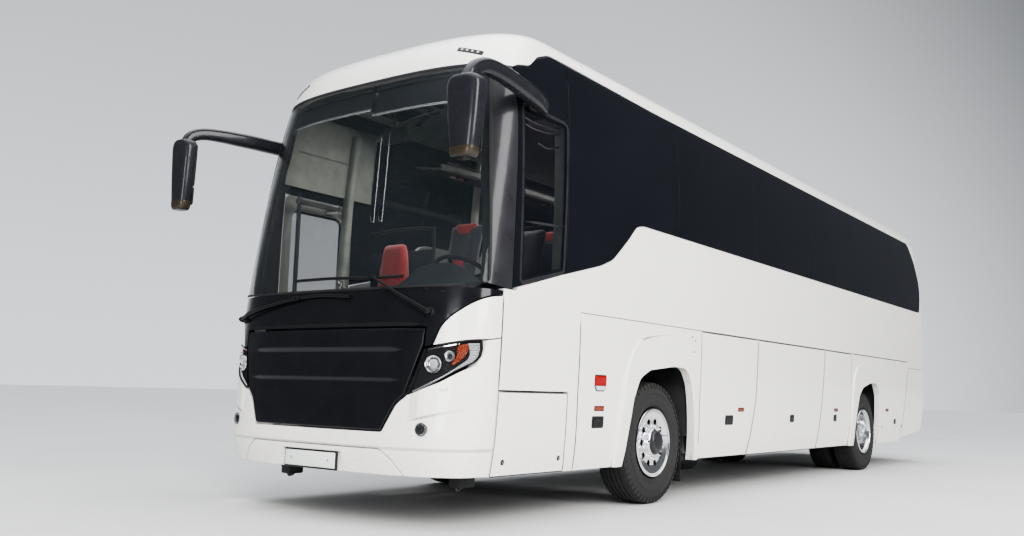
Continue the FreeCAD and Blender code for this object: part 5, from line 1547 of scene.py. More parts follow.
def smooth_vs(vf, times=2):
    vs, fs = vf
    nb = [set() for _ in vs]
    for f in fs:
        for i in range(len(f)):
            nb[f[i]].add(f[(i + 1) % len(f)])
            nb[f[(i + 1) % len(f)]].add(f[i])
    for _ in range(times):
        vs = [v * 0.5 + sum((vs[j] for j in nb[i]), Vector()) / max(1, len(nb[i])) * 0.5 for i, v in enumerate(vs)]
    return vs, fs


cush = smooth_vs(puff(slab([(0.012, 0.372), (0.440, 0.352), (0.440, 0.450), (0.20, 0.452), (0.012, 0.468)], 0.418, 0.030), 0.024), 1)
back = smooth_vs(puff(slab([(0.412, 0.490), (0.492, 0.490), (0.560, 0.80), (0.630, 1.150), (0.562, 1.168), (0.470, 0.80)], 0.418, 0.028), 0.026), 1)
ins_c = smooth_vs(puff(slab([(0.05, 0.450), (0.40, 0.436), (0.40, 0.468), (0.05, 0.486)], 0.240, 0.012), 0.022, 2.0, 12, 0.010), 1)
ins_b = smooth_vs(puff(slab([(0.412, 0.56), (0.440, 0.55), (0.548, 0.94), (0.520, 0.95), (0.455, 0.76)], 0.240, 0.012), 0.022, 2.0, 12, 0.010), 1)
head = smooth_vs(puff(slab([(0.512, 1.000), (0.560, 0.990), (0.600, 1.155), (0.548, 1.172)], 0.270, 0.016), 0.024, 2.0, 12, 0.010), 1)


def placed(vf, x, y, z, sx=1.0, sy=1.0, sz=1.0):
    return [Vector((v.x * sx + x, v.y * sy + y, v.z * sz + z)) for v in vf[0]], vf[1]


rows = [2.150 + 0.790 * k for k in range(12)]
FZ = 1.440
bc, bk, bi, bh, bf = Build(), Build(), Build(), Build(), Build()
for y in rows:
    for s in (1, -1):
        if s < 0 and 6.7 < y < 7.9:
            continue
        if y > 11.2:
            continue
        cx = s * 0.672
        for dx in (-0.222, 0.222):
            bc.xadd(placed(cush, cx + dx, y - YS, FZ), "seat_fabric")
            bk.xadd(placed(back, cx + dx, y - YS, FZ), "seat_fabric")
            bi.xadd(placed(ins_c, cx + dx, y - YS, FZ), "seat_red")
            bi.xadd(placed(ins_b, cx + dx, y - YS, FZ), "seat_red")
            bh.xadd(placed(head, cx + dx, y - YS, FZ), "seat_red")
        # legs, cross tubes, arm rests
        for q in (-0.28, 0.28):
            bf.xadd(g_tube([(cx + q, y + 0.10 - YS, FZ + 0.012), (cx + q, y + 0.16 - YS, FZ + 0.30), (cx + q, y + 0.20 - YS, FZ + 0.336)], 0.018, 10), "galvanised")
            bf.xadd(g_tube([(cx + q, y + 0.36 - YS, FZ + 0.012), (cx + q, y + 0.32 - YS, FZ + 0.30), (cx + q, y + 0.30 - YS, FZ + 0.336)], 0.018, 10), "galvanised")
            bf.xadd(g_rbox((cx + q - 0.03, y + 0.06 - YS, FZ + 0.002), (cx + q + 0.03, y + 0.40 - YS, FZ + 0.014), 0.004, 2), "galvanised")
        bf.xadd(g_tube([(cx - 0.40, y + 0.24 - YS, FZ + 0.335), (cx + 0.40, y + 0.24 - YS, FZ + 0.335)], 0.016, 10), "galvanised")
        xa = cx - s * 0.435
        bf.xadd(g_rbox((xa - 0.020, y + 0.10 - YS, FZ + 0.625), (xa + 0.020, y + 0.46 - YS, FZ + 0.662), 0.014, 3), "black_plastic")
        bf.xadd(g_tube([(xa, y + 0.44 - YS, FZ + 0.64), (xa, y + 0.47 - YS, FZ + 0.50), (xa + s * 0.01, y + 0.43 - YS, FZ + 0.42)], 0.013, 8), "black_plastic")
o = bc.done("seat_cushions", "coach_body", 70)
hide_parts("passenger_seats")
o = bk.done("seat_backs", "coach_body", 70)
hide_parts("passenger_seats")
o = bi.done("seat_centre_panels", "coach_body", 70)
o = bh.done("seat_head_panels", "coach_body", 70)
o = bf.done("seat_legs")
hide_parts("seat_frames")

# driver's seat
dc = smooth_vs(puff(slab([(1.005, 1.44), (1.470, 1.43), (1.470, 1.525), (1.24, 1.53), (1.005, 1.548)], 0.478, 0.034), 0.022, 3.0), 1)
db = smooth_vs(puff(slab([(1.452, 1.552), (1.532, 1.552), (1.590, 1.90), (1.650, 2.245), (1.588, 2.255), (1.508, 1.90)], 0.456, 0.030), 0.022, 3.0), 1)
dri = smooth_vs(puff(slab([(1.455, 1.62), (1.482, 1.61), (1.570, 2.02), (1.544, 2.03), (1.494, 1.84)], 0.250, 0.012), 0.020, 2.0, 12, 0.010), 1)
for nm, vf, mt in (("driver_seat_cushion", dc, "seat_fabric"), ("driver_seat_back", db, "seat_fabric"), ("driver_seat_centre", dri, "seat_red")):
    b = Build().xadd(placed(vf, 0.640, -YS, 0.0), mt)
    o = b.done(nm, "coach_body", 70)
    if nm != "driver_seat_centre":
        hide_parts("driver_seat")
b = Build()
for k in range(6):
    z0 = 1.06 + 0.055 * k
    b.xadd(g_rbox((0.50 + 0.012 * (k % 2), 1.10 - YS + 0.012 * (k % 2), z0), (0.78 - 0.012 * (k % 2), 1.42 - YS - 0.012 * (k % 2), z0 + 0.058), 0.018, 3), "rubber")
b.xadd(g_rbox((0.47, 1.06 - YS, 1.003), (0.81, 1.45 - YS, 1.062), 0.012, 2), "black_plastic")
b.xadd(g_rbox((0.46, 1.05 - YS, 1.388), (0.82, 1.47 - YS, 1.428), 0.014, 2), "black_plastic")
for s in (-1, 1):
    b.xadd(g_rbox((0.640 + s * 0.268 - 0.022, 1.16 - YS, 1.700), (0.640 + s * 0.268 + 0.022, 1.50 - YS, 1.742), 0.016, 3), "black_plastic")
    b.xadd(g_tube([(0.640 + s * 0.262, 1.49 - YS, 1.715), (0.640 + s * 0.250, 1.535 - YS, 1.70), (0.640 + s * 0.235, 1.55 - YS, 1.68)], 0.014, 8), "black_plastic")
b.done("driver_seat_base")

# ------------------------------------------------------------------ dashboard and steering wheel
vs, fs = [], []
nx = 56
for i in range(nx + 1):
    x = -985 + (1135 + 985) * i / nx
    hood = math.exp(-((x - 640) / 300.0) ** 4)
    door = 1 / (1 + math.exp((x + 190) / 12.0))
    yf = max(340.0, front_y(x, 1600) + 62.0)
    yb = 752 - 205 * door
    sec = [(yf, 1012), (yf, 1300), (yf, 1560), (yf + 14, 1592), (yf + 50, 1630), (500 - 10 * door, 1668 + 110 * hood), (560 - 40 * door, 1690 + 150 * hood), (612 - 70 * door, 1684 + 150 * hood), (640 - 90 * door, 1650 + 120 * hood),
           (655 - 100 * door - 30 * hood, 1540 + 60 * hood), (690 - 140 * door, 1400), (yb - 18, 1240), (yb - 2, 1190), (yb, 1120), (yb - 10, 1040), (yb - 30, 1012)]
    for (y, z) in sec:
        y = max(y, yf)
        vs.append(L(x, y, z))
m = 16
for i in range(nx):
    for k in range(m):
        k2 = (k + 1) % m
        fs.append((i * m + k, i * m + k2, (i + 1) * m + k2, (i + 1) * m + k))
fs.append(tuple(reversed(range(m))))
fs.append(tuple(nx * m + k for k in range(m)))
b = Build().add(vs, fs, "dash_dark")
# instruments, switch rows, screen
ins = Matrix.Translation(L(640, 652, 1690)) @ frame_to((0, 0.86, 0.51))
for (u, v, r) in ((-0.115, 0.0, 0.058), (0.115, 0.0, 0.058), (0.0, 0.012, 0.040), (-0.215, -0.01, 0.030), (0.215, -0.01, 0.030)):
    c = ins @ Vector((u, v, 0.0))
    ax = (ins.to_3x3() @ Vector((0, 0, 1)))
    b.xadd(g_lathe([(-0.006, r * 1.05), (0.008, r * 1.06), (0.010, r), (0.004, r * 0.93), (0.002, 0.0005)], c, ax, 32), "black_satin")
    b.xadd(g_lathe([(0.0035, r * 0.90), (0.0045, r * 0.88), (0.0045, r * 0.84), (0.0035, r * 0.82)], c, ax, 32), "chrome")
for k in range(14):
    x = 250 + 44 * (k % 7)
    z = 1400 - 50 * (k // 7)
    b.xadd(g_rbox(L(x - 17, 690, z - 18), L(x + 17, 706, z + 18), 0.005, 2), "black_satin")
b.xadd(g_rbox(L(60, 560, 1470), L(250, 600, 1600), 0.012, 3, None), "black_gloss")
o = b.done("dashboard_shell", "coach_body", 45)
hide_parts("dashboard")

b = Build()
c = L(640, 860, 1790)
nrm = Vector((0, 0.5, 0.866)).normalized()
fr = Matrix.Translation(c) @ frame_to(nrm, (0, 1, 0))
pts = [fr @ Vector((0.225 * math.cos(2 * math.pi * k / 64), 0.225 * math.sin(2 * math.pi * k / 64), 0.0)) for k in range(64)]
b.xadd(g_sweep(pts, lambda i, t: ring(0.0155 + 0.0012 * math.cos(i * math.pi / 2), 14, 0.0175), upv=tuple(nrm), closed=True), "black_plastic")
for a in (0.0, math.pi, 1.5 * math.pi, 0.28, math.pi - 0.28):
    e = fr @ Vector((0.212 * math.cos(a), 0.212 * math.sin(a), 0.0))
    i0 = fr @ Vector((0.045 * math.cos(a), 0.045 * math.sin(a), -0.022))
    b.xadd(g_sweep(catmull([i0, (i0 + e) * 0.5 + nrm * -0.012, e], 6), lambda i, t: sup(0.017 - 0.004 * t, 0.007, 12, 3.0), upv=tuple(nrm)), "black_satin")
b.xadd(g_lathe([(-0.050, 0.060), (-0.030, 0.074), (-0.012, 0.076), (0.000, 0.070), (0.008, 0.050), (0.010, 0.0005)], c, nrm, 40), "black_plastic")
b.xadd(g_tube([tuple(c - nrm * 0.045), tuple(c - nrm * 0.20), tuple(L(640, 668, 1440))], 0.034, 16), "black_plastic")
for s in (-1, 1):
    b.xadd(g_tube([tuple(c - nrm * 0.085), tuple(c - nrm * 0.075 + Vector((s * 0.12, 0.0, 0.01))), tuple(c - nrm * 0.07 + Vector((s * 0.19, 0.01, 0.02)))], 0.008, 8), "black_satin")
o = b.done("steering_wheel_rim", "coach_body", 50)
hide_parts("steering_wheel")

# ------------------------------------------------------------------ luggage racks, lining, blinds, rails
b = Build()
for s in (1, -1):
    vs, fs = [], []
    n = 60
    prof = [(0.690, 3.050), (0.684, 3.034), (0.700, 3.014), (0.760, 3.018), (0.900, 3.046), (1.040, 3.070), (1.098, 3.080), (1.102, 3.106), (1.040, 3.092), (0.900, 3.068), (0.760, 3.040), (0.712, 3.046), (0.706, 3.080), (0.694, 3.082)]
    m = len(prof)
    for i in range(n + 1):
        y = 2.1 + 9.2 * i / n - YS
        e = 0.85 if i in (0, n) else 1.0
        for x, z in prof:
            vs.append(Vector((s * (0.9 + (x - 0.9) * e), y, 3.05 + (z - 3.05) * e)))
    for i in range(n):
        for k in range(m):
            k2 = (k + 1) % m
            fs.append((i * m + k, i * m + k2, (i + 1) * m + k2, (i + 1) * m + k))
    fs.append(tuple(reversed(range(m))))
    fs.append(tuple(n * m + k for k in range(m)))
    if s < 0:
        fs = [tuple(reversed(f)) for f in fs]
    # rack shells in dark grey: painted shade of the dim saloon
    b.add(vs, fs, "trim_grey")
    # service panels with nozzles and lamps under the rack
    for y in rows:
        for q in (-0.06, 0.06):
            b.xadd(g_lathe([(0.0, 0.022), (0.008, 0.022), (0.014, 0.016), (0.015, 0.0005)], (s * 0.80, y + 0.35 + q - YS, 3.020), (0, 0, -1), 18), "black_satin")
        b.xadd(g_rbox((s * 0.86 - 0.02, y + 0.25 - YS, 3.016), (s * 0.86 + 0.02, y + 0.45 - YS, 3.030), 0.005, 2), "lens_white")
    b.xadd(g_tube([(s * 0.690, 2.15 - YS, 3.098), (s * 0.690, 11.25 - YS, 3.098)], 0.012, 10), "galvanised")
o = b.done("rack_shells", "coach_body", 50)
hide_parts("luggage_racks")

# ceiling lining under the roof skin, darkened as painted shade of the dim saloon
vs, fs = [], []
nxl, nyl = 24, 60
for i in range(nyl + 1):
    y = 1500 + (11200 - 1500) * i / nyl
    for k in range(nxl + 1):
        x = -1050 + 2100 * k / nxl
        z = 3520 - 190 * (abs(x) / 1050.0) ** 3.2 - 150 * max(0.0, (2100 - y) / 600.0) ** 2
        for dz in (0.0,):
            vs.append(L(x, y, z))
top = len(vs)
vs += [v + Vector((0, 0, 0.012)) for v in vs]
w = nxl + 1
for i in range(nyl):
    for k in range(nxl):
        a = i * w + k
        fs.append((a, a + w, a + w + 1, a + 1))
        fs.append((top + a, top + a + 1, top + a + w + 1, top + a + w))
for i in range(nyl):
    for k in (0, nxl):
        a = i * w + k
        f = (a, top + a, top + a + w, a + w)
        fs.append(f if k == nxl else tuple(reversed(f)))
for k in range(nxl):
    for i in (0, nyl):
        a = i * w + k
        f = (a, a + 1, top + a + 1, top + a)
        fs.append(f if i == 0 else tuple(reversed(f)))
b = Build().add(vs, fs, "lining_painted_shade")
for y in [2.6 + 1.3 * k for k in range(7)]:
    b.xadd(g_rbox((-0.10, y - YS, 3.502), (0.10, y + 0.6 - YS, 3.522), 0.008, 2), "lens_white")
for (x, y) in ((-620, 1700), (-420, 1620), (-200, 1600), (-780, 1800), (420, 1640), (700, 1720)):
    zz = 3520 - 190 * (abs(x) / 1050.0) ** 3.2 - 150 * max(0.0, (2100 - y) / 600.0) ** 2
    b.xadd(g_lathe([(0.0, 0.060), (0.010, 0.058), (0.014, 0.050), (0.008, 0.044), (0.006, 0.0005)], L(x, y, zz), (0, 0, -1), 28), "black_satin")
b.done("ceiling_lining", "coach_body", 45)

# inner pillars beside the driver and the doorway: their pale trim darkened as painted shade
b = Build()
for s in (1, -1):
    pts = []
    for z in (1640, 1900, 2300, 2700, 3000, 3220):
        pts.append(L(s * (tab(A_T, z) - 82), 1306 + 0.04 * (z - 1640), z))
    b.xadd(g_sweep(catmull(pts, 4), lambda i, t: sup(0.046, 0.036, 16, 3.5), upv=(0, 1, 0)), "lining_painted_shade")
    pts = []
    for z in (1640, 1900, 2300, 2700, 3000, 3200):
        pts.append(L(s * (side_x(560, z) - 66), 600 + 0.05 * (z - 1640), z))
    if s > 0:
        b.xadd(g_sweep(catmull(pts, 4), lambda i, t: sup(0.050, 0.034, 16, 3.5), upv=(0, 1, 0)), "trim_grey")
b.done("inner_pillars", "coach_body", 60)

# roller blinds and their rods behind the windscreen and the driver's window
b = Build()


def map_inner(u, v, off):
    return map_front(u, v, off - 62.0)


for (x0, x1, zl) in ((-1080, 40, 3060), (70, 1090, 3010)):
    poly = round_poly([(x0, zl, 10), (x1, zl, 10), (x1, 3236, 10), (x0, 3236, 10)])
    b.xadd(g_patch(poly, map_inner, h=0.0, depth=3.0, r=1.0, res=40.0, detail=lambda u, v: 3.0 * math.sin(v / 26.0)), "blind_cloth")
    b.xadd(g_tube([tuple(map_inner(x0 + (x1 - x0) * k / 8, zl, 4.0)) for k in range(9)], 0.011, 10), "chrome")
    b.xadd(g_tube([tuple(map_inner(x0 + (x1 - x0) * k / 8, 3238, 0.0)) for k in range(9)], 0.026, 12), "black_satin")
for (y0, y1, z0, z1) in ((760, 1300, 2935, 2945), (760, 1300, 2885, 2900), (1000, 1280, 2770, 2795)):
    b.xadd(g_tube([L(tab(A_T, z0) - 62, y0, z0), L(tab(A_T, z0) - 66, (y0 + y1) / 2, z0 - 14), L(tab(A_T, z1) - 62, y1, z1)], 0.0085, 10), "chrome")
# two thin rods of the roller blind's frame, hand rails by the guide's and the driver's seat
for x in (-196, -104):
    b.xadd(g_tube([L(x, 712, 2236), L(x + 24, 706, 2500), L(x + 60, 700, 2960)], 0.0045, 8), "chrome")
    b.xadd(g_tube([L(x, 712, 2236), L(x - 60, 740, 2262), L(x - 190, 860, 2322)], 0.0045, 8), "chrome")
b.xadd(g_tube([L(-300, 1560, 1440), L(-300, 1560, 2250), L(-350, 1560, 2330), L(-700, 1560, 2350), L(-1080, 1560, 2330)], 0.013, 12), "black_satin")
b.xadd(g_tube([L(190, 1760, 1450), L(190, 1750, 2200), L(240, 1750, 2290), L(640, 1750, 2290), L(1080, 1750, 2290)], 0.013, 12), "black_satin")
# modesty panels
b.xadd(g_rbox(L(230, 1768, 1450), L(1090, 1786, 2150), 0.008, 2), "dash_dark")
b.xadd(g_rbox(L(-1080, 1572, 1450), L(-320, 1590, 2150), 0.008, 2), "dash_dark")
b.done("blinds_and_rails", "coach_body", 60)
# lining over the front doorway, inside the pane, with its rib, darkened as painted shade
b = Build()


def map_lining(u, v, off):
    return map_side(-1)(u, v, off - 66.0)


b.xadd(g_patch(round_poly([(560, 2640, 20), (1640, 2640, 20), (1640, 3300, 40), (640, 3300, 40)]), map_lining, h=0.0, depth=10.0, r=4.0, res=60.0, detail=lambda u, v: 3.0 * math.sin(v / 60.0)), "lining_painted_shade")
b.xadd(g_strip([(720, 2960), (1480, 2960)], 7.0, -14.0, 8.0, map_lining), "trim_grey")
b.done("doorway_lining", "coach_body", 50)
# folding seat of the guide, in front of the panel by the entrance
gc = smooth_vs(puff(slab([(1.150, 1.560), (1.500, 1.548), (1.500, 1.630), (1.30, 1.632), (1.150, 1.645)], 0.400, 0.028), 0.024), 1)
def domed(vf, zc, zt, k):
    """narrows the top of a back rest to a rounded crown"""
    return [Vector((v.x * (1 - k * max(0.0, (v.z - zc) / (zt - zc)) ** 3), v.y, v.z)) for v in vf[0]], vf[1]


gb = smooth_vs(puff(slab([(1.462, 1.640), (1.530, 1.640), (1.548, 1.90), (1.556, 2.225), (1.500, 2.232), (1.480, 1.90)], 0.372, 0.026), 0.024), 1)
gb = domed(gb, 1.84, 2.24, 0.48)
for nm, vf, mt in (("guide_seat_cushion", gc, "seat_fabric"), ("guide_seat_back", gb, "seat_red")):
    o = Build().xadd(placed(vf, -0.728, -YS, 0.0), mt).done(nm, "coach_body", 70)
b = Build()
for s in (-1, 1):
    b.xadd(g_tube([L(-728 + s * 150, 1560, 1480), L(-728 + s * 150, 1460, 1540), L(-728 + s * 150, 1200, 1548)], 0.011, 8), "black_satin")
b.done("guide_seat_brackets")
# interior mirror
b = Build()
b.xadd(g_rbox(L(-130, 700, 2860), L(130, 735, 2990), 0.016, 3), "black_plastic")
b.xadd(g_tube([L(0, 690, 3090), L(0, 705, 3020), L(0, 716, 2980)], 0.009, 8), "black_plastic")
b.done("interior_mirror")

# ------------------------------------------------------------------ roof details
acl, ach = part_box("roof_air_conditioner")
b = Build()
# louvres and fan covers of the roof unit
yc0, yc1 = acl.y, ach.y
for k in range(4):
    y = yc0 + 0.95 + k * 0.72
    zt = 3.806
    b.xadd(g_lathe([(-0.030, 0.235), (0.0015, 0.235), (0.005, 0.228), (0.004, 0.212), (-0.004, 0.205)], (0.0, y, zt - 0.004), (0, 0, 1), 56), "trim_grey")
    for q in range(5):
        r = 0.035 + 0.038 * q
        pts = [(r * math.cos(2 * math.pi * i / 40), y + r * math.sin(2 * math.pi * i / 40), zt - 0.003) for i in range(40)]
        b.xadd(g_sweep([Vector(p) for p in pts], lambda i, t: ring(0.0035, 6), closed=True), "black_plastic")
    for q in range(6):
        a = math.pi * q / 6
        b.xadd(g_tube([(0.20 * math.cos(a), y + 0.20 * math.sin(a), zt - 0.005), (-0.20 * math.cos(a), y - 0.20 * math.sin(a), zt - 0.005)], 0.003, 6), "black_plastic")
for s in (1, -1):
    for k in range(22):
        y = yc0 + 0.50 + 0.15 * k
        if y > yc1 - 0.55:
            break
        b.xadd(g_rbox((s * 0.66 - 0.10, y - 0.045, 3.758), (s * 0.66 + 0.10, y + 0.045, 3.772), 0.005, 1,
                      Matrix.Translation((s * 0.66, y, 3.765)) @ Matrix.Rotation(s * math.radians(13), 4, "Y") @ Matrix.Rotation(math.radians(18), 4, "X") @ Matrix.Translation((-s * 0.66, -y, -3.765))), "trim_grey")
b.done("roof_unit_grilles", "coach_body", 50)
# gutter bead along both roof edges
for s in (1, -1):
    pts = [(1250 + 240 * k, 3500) for k in range(42)]
    link("roof_bead_" + unit(s), *g_strip(pts, 5.0, -1.0, 5.0, map_side(s)), "white_roof")

# ------------------------------------------------------------------ tail lamps, rear grille, rear trim
hl = Build()
tail_pts = [(1014, 904, 24), (1146, 904, 30), (1164, 1200, 200), (1170, 1498, 50), (1085, 1634, 50), (1014, 1498, 50)]
for s in (1, -1):
    def mpx(u, v, off, s=s):
        q = map_rear(u, v, off)
        return Vector((s * q.x, q.y, q.z))
    b = Build()
    poly = round_poly(tail_pts)
    b.xadd(g_patch(poly, mpx, h=1.0, depth=26.0, r=4.0, res=26.0), "black_gloss")
    for (cx, cz, r, mt) in ((1084, 980, 50, "lens_white"), (1086, 1104, 52, "lens_amber"), (1088, 1232, 54, "lens_red"), (1088, 1362, 52, "lens_red"), (1086, 1482, 46, "lens_red")):
        b.xadd(g_patch(circle_poly(cx, cz, r, 36), mpx, h=5.0, depth=5.0, r=2.0, res=18.0), "chrome")
        b.xadd(g_patch(circle_poly(cx, cz, r * 0.88, 36), mpx, h=12.0, depth=9.0, r=7.0, res=10.0, detail=lambda u, v: 0.9 * abs(((math.hypot(u, v)) / 9.0) % 1.0 - 0.5)), mt)
    o = b.done("tail_lamp_" + unit(s))
    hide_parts("tail_lights")
    # reflectors low on the bumper, high marker lamps
    b = Build()
    b.xadd(g_patch(rect_poly(790, 930, 590, 632, 8), mpx, h=6.0, depth=6.0, r=3.0, res=12.0, detail=lambda u, v: 0.7 * abs(((u / 9.0) % 1.0) - 0.5)), "lens_red")
    b.xadd(g_patch(rect_poly(900, 1000, 3260, 3292, 8), mpx, h=8.0, depth=8.0, r=4.0, res=12.0), "lens_red")
    b.xadd(g_patch(rect_poly(330, 430, 2052 + 90, 2084 + 90, 8), mpx, h=8.0, depth=8.0, r=4.0, res=12.0), "lens_red")
    b.done("rear_markers_" + unit(s))

# louvred field in the engine lid, its handle and lock
b = Build()
for k in range(16):
    z = 1010 + 42 * k
    b.xadd(g_patch(rect_poly(-700, 700, z, z + 28, 10), map_rear, h=9.0, depth=9.0, r=4.0, res=60.0, detail=lambda u, v, z=z: -7.0 * (v - z) / 28.0), "black_satin")
b.xadd(g_patch(rect_poly(-740, 740, 985, 1700, 26), map_rear, h=1.2, depth=4.0, r=1.2, res=70.0), "black_plastic")
b.xadd(g_patch(rect_poly(-110, 110, 1820, 1862, 18), map_rear, h=14.0, depth=14.0, r=7.0, res=20.0), "black_plastic")
b.xadd(g_patch(rect_poly(-96, 96, 1826, 1842, 7), map_rear, h=15.5, depth=4.0, r=1.5, res=20.0), "seam_black")
b.xadd(g_patch(circle_poly(0, 1790, 15, 22), map_rear, h=6.0, depth=5.0, r=2.0, res=9.0), "steel_grey")
b.done("engine_lid_louvres", "engine_lid", 45)

b = Build()
b.xadd(g_rbox((-0.268, 12.024 - YS, 0.552), (0.268, 12.030 - YS, 0.680), 0.003, 2), "black_plastic")
b.xadd(g_rbox((-0.256, 12.028 - YS, 0.562), (0.256, 12.035 - YS, 0.670), 0.002, 2), "plate_blank")
for sx in (-0.19, 0.19):
    b.xadd(g_lathe([(0.0, 0.007), (0.003, 0.0068), (0.0045, 0.004), (0.005, 0.0004)], (sx, 12.035 - YS, 0.616), (0, 1, 0), 16), "steel_grey")
o = b.done("rear_plate")
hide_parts("number_plates")

# rubber round the rear window
b = Build()
win = densify(round_poly([(-900, 2330, 60), (900, 2330, 60), (860, 3200, 120), (-860, 3200, 120)]), 60.0)
n = len(win)
inn = inset(win, 22.0)
outr = inset(win, -10.0)
vs, fs = [], []
for (u, v), (ui, vi), (uo, vo) in zip(win, inn, outr):
    for (a, c, off) in ((uo, vo, -0.5), (uo + (u - uo) * 0.2, vo + (v - vo) * 0.2, 3.5), (u, v, 5.5), (u + (ui - u) * 0.8, v + (vi - v) * 0.8, 3.5), (ui, vi, -2.0)):
        vs.append(map_rear(a, c, off))
for k in range(n):
    k2 = (k + 1) % n
    for j in range(4):
        fs.append((k * 5 + j, k * 5 + j + 1, k2 * 5 + j + 1, k2 * 5 + j))
b.add(vs, fs, "rubber")
b.done("rear_window_rubber")

# ------------------------------------------------------------------ windscreen surround
b = Build()
pts = []
for k in range(61):
    x = -1150 + 2300 * k / 60.0
    pts.append((x, 3261.0))
b.xadd(g_strip(pts, 13.0, 1.0, 4.0, map_front), "rubber")
pts = []
for k in range(61):
    x = -1150 + 2300 * k / 60.0
    z = 1618 + 36 * max(0.0, (front_y(x, 1630) - 85) / 315.0) * 0.9
    pts.append((x, z - 3))
b.xadd(g_strip(pts, 9.0, 1.0, 4.0, map_front), "rubber")
for s in (1, -1):
    pts = [(404, 1668), (417, 1900), (430, 2150), (446, 2400), (478, 2720), (520, 3020), (540, 3150), (552, 3238)]
    b.xadd(g_strip(smooth_line(pts, 6), 10.0, 0.5, 4.0, map_side(s)), "rubber")
b.done("windscreen_rubber", "coach_body", 50)

# ------------------------------------------------------------------ doors: rubbers, handles, inner rails
for nm, y0, y1, z0, z1, ly0, ly1, lz0, lz1 in (("front_door", 640, 1440, 352, 2560, 735, 1345, 980, 2450), ("middle_door", 7190, 7990, 352, 2340, 7285, 7895, 1180, 2230)):
    b = Build()
    poly = densify(round_poly([(ly0, lz0, 70), (ly1, lz0, 70), (ly1, lz1, 90), (ly0, lz1, 90)]), 40.0)
    if area2(poly) < 0:
        poly = poly[::-1]
    inn = inset(poly, 20.0)
    outr = inset(poly, -10.0)
    vs, fs = [], []
    mp = map_side(-1)
    n = len(poly)
    for (u, v), (ui, vi), (uo, vo) in zip(poly, inn, outr):
        for (a, c, off) in ((uo, vo, -0.5), (uo + (u - uo) * 0.2, vo + (v - vo) * 0.2, 2.5), (u, v, 4.0), (ui, vi, 2.0), (ui, vi, -3.0)):
            vs.append(mp(a, c, off))
    for k in range(n):
        k2 = (k + 1) % n
        for j in range(4):
            fs.append((k * 5 + j, k * 5 + j + 1, k2 * 5 + j + 1, k2 * 5 + j))
    b.add(vs, fs, "rubber")
    hy = y1 - 60 if nm == "front_door" else y0 + 60
    b.xadd(g_patch(rect_poly(hy - 34, hy + 34, 1130, 1230, 14), mp, h=2.5, depth=4.0, r=2.0, res=20.0), "black_plastic")
    b.xadd(g_patch(rect_poly(hy - 26, hy + 26, 1168, 1196, 10), mp, h=10.0, depth=8.0, r=5.0, res=16.0), "black_satin")
    x = -1.165
    yr = (y0 + y1) / 2000.0 - YS
    b.xadd(g_tube([(x + 0.028, yr - 0.26, 1.02), (x + 0.055, yr - 0.26, 1.08), (x + 0.058, yr - 0.05, 1.42), (x + 0.055, yr + 0.20, 1.80), (x + 0.026, yr + 0.20, 1.86)], 0.013, 10), "chrome")
    b.done(nm + "_trim", nm, 50)

# ------------------------------------------------------------------ below: air springs with pistons and dampers, exhaust, silencer and air tanks
b = Build()
for s in (1, -1):
    for y in (2823 - 300, 2823 + 300):
        prof = [(0.0, 0.070), (0.008, 0.120), (0.05, 0.138), (0.11, 0.142), (0.16, 0.136), (0.19, 0.110), (0.20, 0.060)]
        b.xadd(g_lathe(prof, L(s * 225, y, 790), (0, 0, 1), 32), "rubber")
        b.xadd(g_lathe([(0.0, 0.085), (0.012, 0.090), (0.10, 0.078), (0.115, 0.060)], L(s * 225, y, 676), (0, 0, 1), 28), "cast_steel")
        b.xadd(g_tube([L(s * 405, y, 640), L(s * 405, y, 780)], 0.034, 14), "black_plastic")
    for y in (8773 - 330, 8773 + 330):
        prof = [(0.0, 0.070), (0.008, 0.120), (0.05, 0.140), (0.11, 0.144), (0.16, 0.138), (0.19, 0.110), (0.20, 0.060)]
        b.xadd(g_lathe(prof, L(s * 300, y, 830), (0, 0, 1), 32), "rubber")
        b.xadd(g_lathe([(0.0, 0.080), (0.012, 0.088), (0.15, 0.074), (0.165, 0.060)], L(s * 300, y, 664), (0, 0, 1), 28), "cast_steel")
b.done("air_springs", "coach_body", 40)
b = Build()
b.xadd(g_tube([L(300, 11650, 470), L(300, 10900, 470), L(280, 10500, 500), L(200, 10300, 560)], 0.060, 20), "galvanised")
b.xadd(g_lathe([(0.0, 0.050), (0.02, 0.130), (0.06, 0.155), (0.80, 0.155), (0.84, 0.130), (0.86, 0.050)], L(520, 10560, 430), (0, 1, 0), 40), "galvanised")
b.xadd(g_tube([L(300, 11650, 470), L(300, 11780, 460), L(300, 11850, 440)], 0.055, 20), "galvanised")
for s in (1, -1):
    b.xadd(g_lathe([(0.0, 0.060), (0.015, 0.125), (0.05, 0.140), (0.62, 0.140), (0.655, 0.125), (0.67, 0.060)], L(s * 250, 3560 + 1200, 250), (0, 1, 0), 36), "chassis_steel")
b.done("exhaust_and_air_tanks", "coach_body", 40)

# ------------------------------------------------------------------ stage, light, camera
def plane(name, size, z, mat):
    me = bpy.data.meshes.new(name)
    s = size
    me.from_pydata([(-s, -s, z), (s, -s, z), (s, s, z), (-s, s, z)], [], [(0, 1, 2, 3)])
    o = bpy.data.objects.new(name, me)
    scene.collection.objects.link(o)
    me.materials.append(mat)
    return o


m, nt, b = new_mat("pale_floor")
n1 = noise(nt, 0.35, 5, 0.6)
nt.links.new(ramp(nt, n1, [(0.3, (0.50, 0.50, 0.50)), (0.7, (0.55, 0.55, 0.545))]), b.inputs["Base Color"])
b.inputs["Roughness"].default_value = 0.8
b.inputs["Specular IOR Level"].default_value = 0.2
bump(nt, b, noise(nt, 25.0, 5), 0.05, 0.004)
plane("floor", 120.0, 0.0, m)

